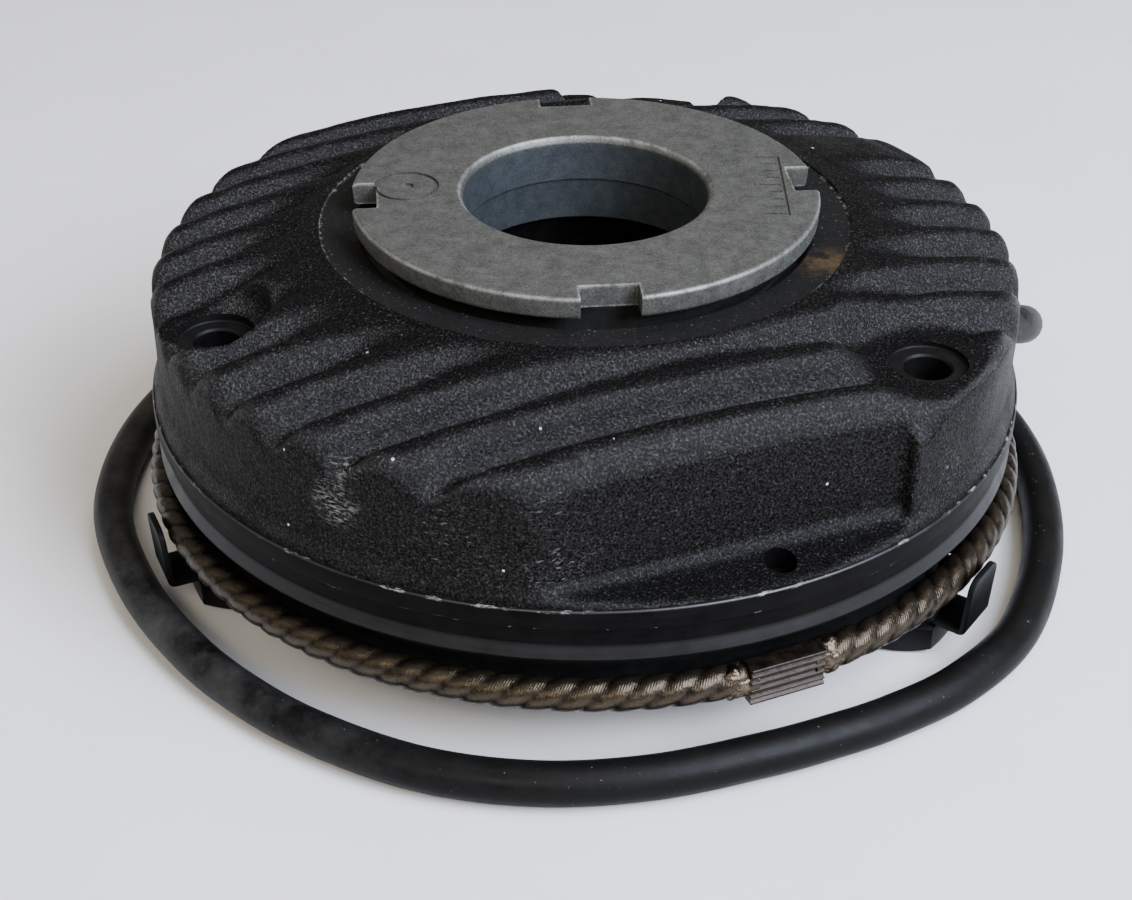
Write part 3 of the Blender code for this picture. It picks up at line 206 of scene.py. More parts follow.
def baked(item, sharp=40.0):
    """Works the modifiers into the object's own mesh."""
    mesh = finished_mesh(item)
    old = item.data
    item.modifiers.clear()
    item.data = mesh
    mesh.name = item.name
    bpy.data.meshes.remove(old)
    mesh.shade_smooth()
    mesh.set_sharp_from_angle(angle=math.radians(sharp))
    return item


def combine(item, tools, operation="DIFFERENCE", solver="MANIFOLD"):
    """Booleans with finished tools, which are removed afterwards. Cut faces keep the tool's material."""
    for tool in tools:
        step = item.modifiers.new(tool.name, "BOOLEAN")
        step.operation = operation
        step.solver = solver
        step.material_mode = "TRANSFER"
        step.object = tool
    baked(item)
    for tool in tools:
        bpy.data.objects.remove(tool, do_unlink=True)
    return item


def close_up(shape):
    """Merges doubles and turns all faces outwards."""
    bmesh.ops.remove_doubles(shape, verts=shape.verts, dist=0.000002)
    bmesh.ops.recalc_face_normals(shape, faces=shape.faces)
    return shape


def outlined(corners, closed, segments=5):
    """A wire outline in the XZ plane from corners of (x, z, rounding), rounded by a vertex bevel."""
    shape = bmesh.new()
    verts = [shape.verts.new((corner[0], 0.0, corner[1])) for corner in corners]
    for first, second in zip(verts, verts[1:]):
        shape.edges.new((first, second))
    if closed:
        shape.edges.new((verts[-1], verts[0]))
    groups = {}
    for vert, corner in zip(verts, corners):
        if len(corner) > 2 and corner[2] > 0.0:
            groups.setdefault(corner[2], []).append(vert)
    for rounding, group in groups.items():
        bmesh.ops.bevel(shape, geom=group, offset=rounding, offset_type="OFFSET", segments=segments,
                        profile=0.5, affect="VERTICES", clamp_overlap=True, material=-1)
    return shape


def turned(corners, steps=ROUND_STEPS, matrix=Matrix()):
    """A solid turned about Z. Corners run from the axis round the outside, or round a ring's section."""
    ring = corners[0][0] > 0.0
    shape = outlined(corners, ring)
    bmesh.ops.spin(shape, geom=shape.verts[:] + shape.edges[:], cent=(0.0, 0.0, 0.0), axis=(0.0, 0.0, 1.0),
                   dvec=(0.0, 0.0, 0.0), angle=math.tau, steps=steps, use_merge=True, use_normal_flip=False,
                   use_duplicate=False)
    close_up(shape)
    bmesh.ops.transform(shape, matrix=matrix, verts=shape.verts)
    return shape


def rod(radius, low, high, rounding=0.0, steps=HOLE_STEPS, matrix=Matrix()):
    return turned([(0.0, high), (radius, high, rounding), (radius, low, rounding), (0.0, low)], steps, matrix)


def prism(corners, depth, matrix=Matrix()):
    """A closed outline in the XZ plane, given its depth along Y, half to each side."""
    shape = outlined(corners, True)
    bmesh.ops.contextual_create(shape, geom=shape.edges[:])
    bmesh.ops.translate(shape, vec=(0.0, -depth / 2.0, 0.0), verts=shape.verts)
    raised = bmesh.ops.extrude_face_region(shape, geom=shape.faces[:])
    moved = [part for part in raised["geom"] if isinstance(part, bmesh.types.BMVert)]
    bmesh.ops.translate(shape, vec=(0.0, depth, 0.0), verts=moved)
    close_up(shape)
    bmesh.ops.transform(shape, matrix=matrix, verts=shape.verts)
    return shape


def block(size, centre, rounding=0.0, matrix=Matrix()):
    """A box with all its edges rounded."""
    shape = bmesh.new()
    bmesh.ops.create_cube(shape, size=1.0)
    bmesh.ops.scale(shape, vec=size, verts=shape.verts)
    if rounding > 0.0:
        bmesh.ops.bevel(shape, geom=shape.edges[:], offset=rounding, offset_type="OFFSET", segments=4,
                        profile=0.5, affect="EDGES", clamp_overlap=True, material=-1)
    bmesh.ops.translate(shape, vec=centre, verts=shape.verts)
    bmesh.ops.transform(shape, matrix=matrix, verts=shape.verts)
    return close_up(shape)


def joined(first, second):
    """Adds the second bmesh's parts to the first."""
    mesh = bpy.data.meshes.new("joined")
    second.to_mesh(mesh)
    second.free()
    first.from_mesh(mesh)
    bpy.data.meshes.remove(mesh)
    return first


def at_azimuth(degrees, radius=0.0, height=0.0):
    return Matrix.Rotation(math.radians(degrees), 4, "Z") @ Matrix.Translation((radius, 0.0, height))


def towards(start, direction):
    """A frame at start whose Z axis points along direction."""
    return Matrix.Translation(start) @ direction.to_track_quat("Z", "Y").to_matrix().to_4x4()


def along_x(start=(0.0, 0.0, 0.0)):
    return Matrix.Translation(start) @ Matrix.Rotation(math.pi / 2.0, 4, "Y")


def tube(name, paths, radius, resolution, material):
    """Round bars along lists of points, made one mesh with closed ends."""
    curve = bpy.data.curves.new(name, "CURVE")
    curve.dimensions = "3D"
    curve.bevel_depth = radius
    curve.bevel_resolution = resolution
    curve.use_fill_caps = True
    for path in paths:
        spline = curve.splines.new("POLY")
        spline.points.add(len(path) - 1)
        for point, place in zip(spline.points, path):
            point.co = (*place, 1.0)
    item = bpy.data.objects.new(name + "_line", curve)
    bpy.context.scene.collection.objects.link(item)
    shape = bmesh.new()
    mesh = finished_mesh(item)
    shape.from_mesh(mesh)
    bpy.data.meshes.remove(mesh)
    bpy.data.objects.remove(item, do_unlink=True)
    return add_piece(name, close_up(shape), material)


def soften_edges(item, width, segments=2, angle=32.0):
    """Rounds every sharp edge of a piece with a Bevel modifier, and works it in."""
    bevel = item.modifiers.new("Worn edges", "BEVEL")
    bevel.width = width
    bevel.segments = segments
    bevel.limit_method = "ANGLE"
    bevel.angle_limit = math.radians(angle)
    bevel.use_clamp_overlap = True
    return baked(item)


def even_faces(item):
    """Keeps large flat faces flat in the light beside their rounded edges."""
    weighted = item.modifiers.new("Even faces", "WEIGHTED_NORMAL")
    weighted.keep_sharp = True


def dress(item, body, slot, *nodes):
    """Makes a finished piece ride on its body in place of the CAD nodes it stands for."""
    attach(item, body)
    if nodes:
        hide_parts(*nodes)
    return item


# Materials

def add(tree, kind, values=(), links=()):
    """Adds one node. Values set its options and sockets, links lead other nodes' outputs to its sockets."""
    made = tree.nodes.new("ShaderNode" + kind)
    for key, value in dict(values).items():
        if isinstance(key, str) and key in made.bl_rna.properties:
            setattr(made, key, value)
        else:
            made.inputs[key].default_value = value
    for key, source in dict(links).items():
        socket = source if isinstance(source, bpy.types.NodeSocket) else source.outputs[0]
        tree.links.new(socket, made.inputs[key])
    return made


def cells(millimetres):
    """Texture scale whose features are this many millimetres wide."""
    return 1000.0 / millimetres


def new_material(name, metallic, roughness, **sockets):
    """An empty Principled material with its constants, and its object coordinates."""
    material = bpy.data.materials.new(name)
    material.use_nodes = True
    tree = material.node_tree
    shader = tree.nodes["Principled BSDF"]
    shader.inputs["Metallic"].default_value = metallic
    shader.inputs["Roughness"].default_value = roughness
    for socket, value in sockets.items():
        shader.inputs[socket.replace("_", " ")].default_value = value
    return material, tree, shader, add(tree, "TexCoord").outputs["Object"]


def rgba(values):
    return (*tuple(values), 1.0)


def mottled(name, light, dark, metallic, roughness, mottle_mm, grain_mm, relief_mm, spread=0.12, **sockets):
    """A material with soft patches, a fine grain that is also its relief, and uneven roughness."""
    material, tree, shader, place = new_material(name, metallic, roughness, **sockets)
    patches = add(tree, "TexNoise", {"Scale": cells(mottle_mm), "Detail": 4.0, "Roughness": 0.6}, {"Vector": place})
    grain = add(tree, "TexNoise", {"Scale": cells(grain_mm), "Detail": 3.0, "Roughness": 0.55}, {"Vector": place})
    both = add(tree, "Math", {"operation": "MULTIPLY_ADD", 1: 0.35}, {0: grain, 2: patches})
    share = add(tree, "MapRange", {"From Min": 0.45, "From Max": 0.90}, {"Value": both})
    tint = add(tree, "Mix", {"data_type": "RGBA", 6: rgba(dark), 7: rgba(light)}, {0: share})
    tree.links.new(tint.outputs[2], shader.inputs["Base Color"])
    gloss = add(tree, "MapRange", {"To Min": roughness - spread, "To Max": roughness + spread}, {"Value": patches})
    tree.links.new(gloss.outputs[0], shader.inputs["Roughness"])
    relief = add(tree, "Bump", {"Strength": 1.0, "Distance": relief_mm * 0.001}, {"Height": grain})
    tree.links.new(relief.outputs[0], shader.inputs["Normal"])
    return material


def sheen_by_tilt(tree, wall, flank, top):
    """Sheen of upright faces, of slopes, which are rubbed free of dust, and of level faces, which hold dust."""
    tilt = add(tree, "SeparateXYZ", (), {0: add(tree, "NewGeometry").outputs["Normal"]}).outputs[2]
    rise = add(tree, "MapRange", {"From Min": 0.20, "From Max": 0.55, "To Min": wall, "To Max": flank}, {"Value": tilt})
    fall = add(tree, "MapRange", {"From Min": 0.78, "From Max": 0.96, "To Min": 1.0, "To Max": top / flank},
               {"Value": tilt})
    return add(tree, "Math", {"operation": "MULTIPLY"}, {0: rise, 1: fall})


def near(tree, source, value, reach):
    """1 where the source has the given value, fading to 0 at the reach on both sides."""
    away = add(tree, "Math", {"operation": "SUBTRACT", 1: value}, {0: source})
    away = add(tree, "Math", {"operation": "ABSOLUTE"}, {0: away})
    return add(tree, "MapRange", {"From Min": reach, "From Max": reach * 0.3}, {"Value": away})


def unrolled(tree, place, radius):
    """Coordinates unrolled round Z, joined at the rear: radius, length round the given circle, height."""
    turn = add(tree, "Mapping", {"Scale": (-1.0, -1.0, 1.0)}, {"Vector": place})
    parts = add(tree, "SeparateXYZ", (), {0: turn})
    flat = add(tree, "CombineXYZ", (), {0: parts.outputs[0], 1: parts.outputs[1]})
    away = add(tree, "VectorMath", {"operation": "LENGTH"}, {0: flat})
    azimuth = add(tree, "Math", {"operation": "ARCTAN2"}, {0: parts.outputs[0], 1: parts.outputs[1]})
    along = add(tree, "Math", {"operation": "MULTIPLY", 1: radius}, {0: azimuth})
    return add(tree, "CombineXYZ", (), {0: away.outputs["Value"], 1: along, 2: parts.outputs[2]})


def painted_casting(settings):
    """Black paint on a coarse sand casting: nearly black, with a sparkling grain, dust and grey scuffs."""
    material, tree, shader, place = new_material("black_painted_sand_casting", 0.0, 0.42,
                                                 Specular_IOR_Level=0.12)
    # Painted shade on the ledge and round the foot: below the ledge's height the paint is darker and its sheen duller
    height = add(tree, "SeparateXYZ", (), {0: place}).outputs[2]
    lit_share = add(tree, "MapRange", {"From Min": HOUSING_LOW + LEDGE_RISE, "From Max": HOUSING_LOW + LEDGE_RISE + 0.0014,
                                   "To Min": 0.8}, {"Value": height})
    sand = add(tree, "TexNoise", {"Scale": cells(0.34), "Detail": 3.0, "Roughness": 0.62}, {"Vector": place})
    lumps = add(tree, "TexNoise", {"Scale": cells(2.2), "Detail": 3.0, "Roughness": 0.6}, {"Vector": place})
    patches = add(tree, "TexNoise", {"Scale": cells(14.0), "Detail": 4.0, "Roughness": 0.65}, {"Vector": place})
    share = add(tree, "MapRange", {"From Min": 0.36, "From Max": 0.66}, {"Value": sand})
    # Only the raised grains shine, and those on the slopes most
    raised = add(tree, "MapRange", {"From Min": 0.46, "From Max": 0.62, "To Min": 0.62, "To Max": 1.5}, {"Value": sand})
    sheen = add(tree, "Math", {"operation": "MULTIPLY"}, {0: sheen_by_tilt(tree, 0.04, 0.36, 0.09), 1: lit_share})
    sheen = add(tree, "Math", {"operation": "MULTIPLY", "use_clamp": True}, {0: sheen, 1: raised})
    tree.links.new(sheen.outputs[0], shader.inputs["Specular IOR Level"])
    tint = add(tree, "Mix", {"data_type": "RGBA", 6: rgba(settings.paint_dark), 7: rgba(settings.paint)}, {0: share})
    # Pale grains, where the paint has worn off the tips of the sand texture
    worn = add(tree, "MapRange", {"From Min": 0.61, "From Max": 0.72, "To Max": 0.26}, {"Value": sand})
    tint = add(tree, "Mix", {"data_type": "RGBA", 7: rgba(linear("7c7f84"))}, {0: worn, 6: tint.outputs[2]})
    # Painted shade: below the ledge's height the paint is mixed a little towards paint_dark
    tint = add(tree, "Mix", {"data_type": "RGBA", 6: rgba(settings.paint_dark)}, {0: lit_share, 7: tint.outputs[2]})
    # Painted reflection: the upright faces are made lighter grey, in the grain's pattern, standing in for their sheen
    tilt = add(tree, "SeparateXYZ", (), {0: add(tree, "NewGeometry").outputs["Normal"]}).outputs[2]
    upright = add(tree, "MapRange", {"From Min": 0.45, "From Max": 0.10, "To Max": 0.42}, {"Value": tilt})
    painted_wall_reflection = add(tree, "Math", {"operation": "MULTIPLY"}, {0: upright, 1: share})
    tint = add(tree, "Mix", {"data_type": "RGBA", 7: rgba(linear("333230"))}, {0: painted_wall_reflection, 6: tint.outputs[2]})
    # Single specks of white dust
    speck = add(tree, "TexVoronoi", {"Scale": cells(4.6)}, {"Vector": place})
    near = add(tree, "Math", {"operation": "LESS_THAN", 1: 0.045}, {0: speck})
    chosen = add(tree, "SeparateColor", (), {0: speck.outputs["Color"]})
    rare = add(tree, "Math", {"operation": "GREATER_THAN", 1: 0.66}, {0: chosen})
    dust = add(tree, "Math", {"operation": "MULTIPLY"}, {0: near, 1: rare})
    tint = add(tree, "Mix", {"data_type": "RGBA", 7: rgba(linear("c9c8c2"))}, {0: dust, 6: tint.outputs[2]})
    # Grey scuffs on the front left of the wall and along its front corner
    scratches = add(tree, "Mapping", {"Scale": (1.0, 1.0, 3.4)}, {"Vector": place})
    streaks = add(tree, "TexNoise", {"Scale": cells(1.1), "Detail": 4.0, "Roughness": 0.7}, {"Vector": scratches})
    for centre, reach, low in (((-0.0311, -0.0553, 0.0363), 0.0044, 0.50), ((-0.0300, -0.0560, 0.0420), 0.0032, 0.52),
                               ((-0.0052, -0.0590, 0.0400), 0.0050, 0.57), ((-0.0036, -0.0600, 0.0318), 0.0056, 0.58),
                               ((-0.0165, -0.0613, 0.0355), 0.0075, 0.61), ((0.0480, -0.0405, 0.0330), 0.0040, 0.58)):
        away = add(tree, "VectorMath", {"operation": "DISTANCE", 1: centre}, {0: place})
        fade = add(tree, "MapRange", {"From Min": reach, "From Max": reach * 0.35}, {"Value": away.outputs["Value"]})
        marks = add(tree, "MapRange", {"From Min": low, "From Max": low + 0.12, "To Max": 0.75}, {"Value": streaks})
        scuff = add(tree, "Math", {"operation": "MULTIPLY"}, {0: fade, 1: marks})
        tint = add(tree, "Mix", {"data_type": "RGBA", 7: rgba(linear("8f8f8c"))}, {0: scuff, 6: tint.outputs[2]})
    tree.links.new(tint.outputs[2], shader.inputs["Base Color"])
    gloss = add(tree, "MapRange", {"From Min": 0.3, "From Max": 0.7, "To Min": 0.34, "To Max": 0.50}, {"Value": patches})
    tree.links.new(gloss.outputs[0], shader.inputs["Roughness"])
    coarse = add(tree, "Bump", {"Strength": 0.5, "Distance": 0.00030}, {"Height": lumps})
    relief = add(tree, "Bump", {"Strength": 1.0, "Distance": 0.00036}, {"Height": sand, "Normal": coarse})
    tree.links.new(relief.outputs[0], shader.inputs["Normal"])
    return material


def turned_black(settings):
    """Turned iron, blackened: fine turning rings, dusty beside the nut, thin worn dashes on the ledge, some rust."""
    material, tree, shader, place = new_material("turned_blackened_iron", 0.0, 0.38, Specular_IOR_Level=0.20)
    tree.links.new(sheen_by_tilt(tree, 0.03, 0.60, 0.18).outputs[0], shader.inputs["Specular IOR Level"])
    round_place = unrolled(tree, place, settings.band_radius)
    parts = add(tree, "SeparateXYZ", (), {0: round_place})
    streaks = add(tree, "Mapping", {"Scale": (1.0, 0.04, 1.0)}, {"Vector": round_place})
    turning = add(tree, "TexNoise", {"Scale": cells(0.35), "Detail": 3.0}, {"Vector": streaks})
    patches = add(tree, "TexNoise", {"Scale": cells(5.0), "Detail": 5.0, "Roughness": 0.65}, {"Vector": place})
    grain = add(tree, "TexNoise", {"Scale": cells(0.45), "Detail": 3.0, "Roughness": 0.6}, {"Vector": place})
    both = add(tree, "Math", {"operation": "MULTIPLY_ADD", 1: 0.5}, {0: turning, 2: patches})
    share = add(tree, "MapRange", {"From Min": 0.55, "From Max": 1.0}, {"Value": both})
    tint = add(tree, "Mix", {"data_type": "RGBA", 6: rgba(settings.paint_dark), 7: rgba(settings.band)}, {0: share})
    # Grey dust on the ring face, where the turned surface is dull
    ring = add(tree, "MapRange", {"From Min": RING_FACE - 0.0008, "From Max": RING_FACE - 0.0003},
               {"Value": parts.outputs[2]})
    dull = add(tree, "MapRange", {"From Min": 0.35, "From Max": 0.65, "To Min": 0.25}, {"Value": grain})
    dust = add(tree, "Math", {"operation": "MULTIPLY"}, {0: ring, 1: dull})
    tint = add(tree, "Mix", {"data_type": "RGBA", 7: rgba(linear("151514"))}, {0: dust, 6: tint.outputs[2]})
    # Thin worn dashes along the top edge of the band and under its upper lip
    dashes = add(tree, "Mapping", {"Scale": (1.0, 0.30, 1.0)}, {"Vector": round_place})
    nick = add(tree, "TexNoise", {"Scale": cells(0.8), "Detail": 4.0, "Roughness": 0.7}, {"Vector": dashes})
    for height, least in ((BAND_HEIGHT - 0.0001, 0.56), (0.0053, 0.60)):
        edge = near(tree, parts.outputs[2], HOUSING_LOW + height, 0.00030)
        outer = add(tree, "Math", {"operation": "GREATER_THAN", 1: settings.band_radius - 0.0004}, {0: parts})
        line = add(tree, "Math", {"operation": "MULTIPLY"}, {0: edge, 1: outer})
        bare = add(tree, "MapRange", {"From Min": least, "From Max": least + 0.08, "To Max": 0.8}, {"Value": nick})
        nicks = add(tree, "Math", {"operation": "MULTIPLY"}, {0: line, 1: bare})
        tint = add(tree, "Mix", {"data_type": "RGBA", 7: rgba(linear("8c8b86"))}, {0: nicks, 6: tint.outputs[2]})
    # The ring's outer edge, worn bright in places, and specks of dust on its face
    rim = near(tree, parts.outputs[0], RECESS_RADIUS - 0.0002, 0.00040)
    rim = add(tree, "Math", {"operation": "MULTIPLY"}, {0: rim, 1: ring})
    bare = add(tree, "MapRange", {"From Min": 0.53, "From Max": 0.62, "To Max": 0.6}, {"Value": nick})
    bright = add(tree, "Math", {"operation": "MULTIPLY"}, {0: rim, 1: bare})
    speck = add(tree, "MapRange", {"From Min": 0.67, "From Max": 0.73, "To Max": 0.45}, {"Value": grain})
    speck = add(tree, "Math", {"operation": "MULTIPLY"}, {0: speck, 1: ring})
    bright = add(tree, "Math", {"operation": "MAXIMUM"}, {0: bright, 1: speck})
    tint = add(tree, "Mix", {"data_type": "RGBA", 7: rgba(linear("84827c"))}, {0: bright, 6: tint.outputs[2]})
    # Rust on the ring face beside the nut
    away = add(tree, "VectorMath", {"operation": "DISTANCE", 1: (0.0337, -0.0143, RING_FACE)}, {0: place})
    fade = add(tree, "MapRange", {"From Min": 0.0058, "From Max": 0.0012, "To Max": 0.75}, {"Value": away.outputs["Value"]})
    stain = add(tree, "MapRange", {"From Min": 0.40, "From Max": 0.62}, {"Value": patches})
    rust = add(tree, "Math", {"operation": "MULTIPLY"}, {0: fade, 1: stain})
    tint = add(tree, "Mix", {"data_type": "RGBA", 7: rgba(linear("5e4a30"))}, {0: rust, 6: tint.outputs[2]})
    tree.links.new(tint.outputs[2], shader.inputs["Base Color"])
    gloss = add(tree, "MapRange", {"From Min": 0.3, "From Max": 0.7, "To Min": 0.34, "To Max": 0.48}, {"Value": patches})
    rough = add(tree, "Math", {"operation": "MULTIPLY_ADD", 1: 0.28}, {0: ring, 2: gloss})
    tree.links.new(rough.outputs[0], shader.inputs["Roughness"])
    relief = add(tree, "Bump", {"Strength": 0.6, "Distance": 0.00004}, {"Height": turning})
    tree.links.new(relief.outputs[0], shader.inputs["Normal"])
    return material


def zinc_casting(settings):
    """Zinc die casting, tumbled: dull warm grey with a fine speckle, brighter on worn edges."""
    material, tree, shader, place = new_material("tumbled_zinc_die_casting", 0.55, 0.48)
    clouds = add(tree, "TexNoise", {"Scale": cells(2.2), "Detail": 7.0, "Roughness": 0.74}, {"Vector": place})
    grain = add(tree, "TexNoise", {"Scale": cells(0.34), "Detail": 3.0, "Roughness": 0.6}, {"Vector": place})
    both = add(tree, "Math", {"operation": "MULTIPLY_ADD", 1: 0.9}, {0: grain, 2: clouds})
    share = add(tree, "MapRange", {"From Min": 0.70, "From Max": 1.20}, {"Value": both})
    tint = add(tree, "Mix", {"data_type": "RGBA", 6: rgba(settings.zinc_dark), 7: rgba(settings.zinc)}, {0: share})
    # Bright metal on the edges of the rim, the bore and the notches, which lie a quarter turn apart
    turn = add(tree, "Mapping", {"Rotation": (0.0, 0.0, math.radians(-NOTCH_AZIMUTH))}, {"Vector": place})
    parts = add(tree, "SeparateXYZ", (), {0: turn})
    flat = add(tree, "CombineXYZ", (), {0: parts.outputs[0], 1: parts.outputs[1]})
    radius = add(tree, "VectorMath", {"operation": "LENGTH"}, {0: flat}).outputs["Value"]
    sides = [add(tree, "Math", {"operation": "ABSOLUTE"}, {0: parts.outputs[i]}) for i in (0, 1)]
    along = add(tree, "Math", {"operation": "MAXIMUM"}, {0: sides[0], 1: sides[1]})
    across = add(tree, "Math", {"operation": "MINIMUM"}, {0: sides[0], 1: sides[1]})
    beside = add(tree, "Math", {"operation": "SUBTRACT", 1: settings.notch_width / 2.0}, {0: across})
    behind = add(tree, "Math", {"operation": "SUBTRACT", 0: settings.flange_radius - settings.notch_depth}, {1: along})
    notch = near(tree, add(tree, "Math", {"operation": "MAXIMUM"}, {0: beside, 1: behind}), 0.0, 0.00040)
    edge = add(tree, "Math", {"operation": "MAXIMUM"}, {0: notch, 1: near(tree, radius, settings.flange_radius, 0.00042)})
    inner = near(tree, radius, settings.bore_radius + 0.0004, 0.00045)
    upper = add(tree, "Math", {"operation": "MAXIMUM"}, {0: edge, 1: inner})
    upper = add(tree, "Math", {"operation": "MULTIPLY"}, {0: upper, 1: near(tree, parts.outputs[2], NUT_HIGH, 0.00055)})
    low_edge = near(tree, parts.outputs[2], NUT_HIGH - FLANGE, 0.00045)
    low_edge = add(tree, "Math", {"operation": "MULTIPLY"}, {0: edge, 1: low_edge})
    rubbed = add(tree, "MapRange", {"From Min": 0.40, "From Max": 0.60, "To Min": 0.1, "To Max": 0.55}, {"Value": clouds})
    worn = add(tree, "Math", {"operation": "MAXIMUM"}, {0: upper, 1: low_edge})
    worn = add(tree, "Math", {"operation": "MULTIPLY"}, {0: worn, 1: rubbed})
    tint = add(tree, "Mix", {"data_type": "RGBA", 7: rgba(linear("c9c9c4"))}, {0: worn, 6: tint.outputs[2]})
    # Painted shade in the bore, tinted bluish as a painted reflection, and painted black shade under the flange, where
    # the zinc is also made not metallic
    height = parts.outputs[2]
    inside = add(tree, "MapRange", {"From Min": settings.bore_radius + 0.0016, "From Max": settings.bore_radius + 0.0010,
                                    "To Max": 0.55}, {"Value": radius})
    deep = add(tree, "MapRange", {"From Min": NUT_HIGH - 0.0006, "From Max": NUT_HIGH - 0.0016}, {"Value": height})
    painted_bore_shade = add(tree, "Math", {"operation": "MULTIPLY"}, {0: inside, 1: deep})
    tint = add(tree, "Mix", {"data_type": "RGBA", 7: rgba(linear("36434f"))}, {0: painted_bore_shade, 6: tint.outputs[2]})
    # Painted shade: black and not metallic under the flange
    outside = add(tree, "Math", {"operation": "GREATER_THAN", 1: settings.bore_radius + 0.0060}, {0: radius})
    low = add(tree, "MapRange", {"From Min": NUT_HIGH - FLANGE - 0.0001, "From Max": NUT_HIGH - FLANGE - 0.0006,
                                 "To Max": 0.93}, {"Value": height})
    dirt_and_shade = add(tree, "Math", {"operation": "MULTIPLY"}, {0: outside, 1: low})
    tint = add(tree, "Mix", {"data_type": "RGBA", 7: rgba(linear("0b0b0b"))}, {0: dirt_and_shade, 6: tint.outputs[2]})
    bare = add(tree, "Math", {"operation": "MULTIPLY_ADD", 1: -0.55, 2: 0.55}, {0: dirt_and_shade})
    tree.links.new(bare.outputs[0], shader.inputs["Metallic"])
    tree.links.new(tint.outputs[2], shader.inputs["Base Color"])
    gloss = add(tree, "MapRange", {"From Min": 0.3, "From Max": 0.7, "To Min": 0.44, "To Max": 0.56}, {"Value": clouds})
    tree.links.new(gloss.outputs[0], shader.inputs["Roughness"])
    relief = add(tree, "Bump", {"Strength": 0.8, "Distance": 0.00007}, {"Height": both})
    tree.links.new(relief.outputs[0], shader.inputs["Normal"])
    return material


def tarnished_wire(settings):
    """Fine drawn wires with a bronze tarnish: painted warm glints on the strands' crests, and painted shade with oily
    brown dirt between them.
    """
    material, tree, shader, place = new_material("tarnished_drawn_wire", 0.85, 0.40)
    round_place = unrolled(tree, place, settings.ring_radius)
    parts = add(tree, "SeparateXYZ", (), {0: round_place})
    dirt_and_shade = add(tree, "TexNoise", {"Scale": cells(1.6), "Detail": 5.0, "Roughness": 0.7}, {"Vector": place})
    # Painted light: the strands' crests, furthest from the rope's centre, are painted lighter as glints, and the seams
    # nearest it painted darker as shade, mixed with dirt
    inward = add(tree, "Math", {"operation": "SUBTRACT", 1: settings.ring_radius}, {0: parts.outputs[0]})
    upward = add(tree, "Math", {"operation": "SUBTRACT", 1: PLATE_LOW + ROPE_RISE}, {0: parts.outputs[2]})
    offset = add(tree, "CombineXYZ", (), {0: inward, 1: upward})
    reach = add(tree, "VectorMath", {"operation": "LENGTH"}, {0: offset}).outputs["Value"]
    lit_share = add(tree, "MapRange", {"From Min": settings.rope_radius - 0.00055, "From Max": settings.rope_radius - 0.00004},
                {"Value": reach})
    both = add(tree, "Math", {"operation": "MULTIPLY_ADD", 1: 0.65}, {0: lit_share, 2: dirt_and_shade})
    share = add(tree, "MapRange", {"From Min": 0.66, "From Max": 1.48}, {"Value": both})
    tint = add(tree, "Mix", {"data_type": "RGBA", 6: rgba(settings.wire_dark), 7: rgba(settings.wire)}, {0: share})
    tree.links.new(tint.outputs[2], shader.inputs["Base Color"])
    gloss = add(tree, "MapRange", {"From Min": 0.3, "From Max": 0.7, "To Min": 0.24, "To Max": 0.42}, {"Value": dirt_and_shade})
    tree.links.new(gloss.outputs[0], shader.inputs["Roughness"])
    # Single wires, laid nearly square to the rope
    around = add(tree, "Math", {"operation": "ARCTAN2"}, {0: upward, 1: inward})
    lean = add(tree, "Math", {"operation": "MULTIPLY", 1: 0.0009}, {0: around})
    across = add(tree, "Math", {"operation": "ADD"}, {0: parts.outputs[1], 1: lean})
    wires = add(tree, "Math", {"operation": "SINE"},
                {0: add(tree, "Math", {"operation": "MULTIPLY", 1: math.tau * cells(0.34)}, {0: across})})
    grain = add(tree, "TexNoise", {"Scale": cells(0.5), "Detail": 3.0}, {"Vector": place})
    rough = add(tree, "Math", {"operation": "MULTIPLY_ADD", 1: 0.10}, {0: wires, 2: grain})
    relief = add(tree, "Bump", {"Strength": 0.9, "Distance": 0.00009}, {"Height": rough})
    tree.links.new(relief.outputs[0], shader.inputs["Normal"])
    return material


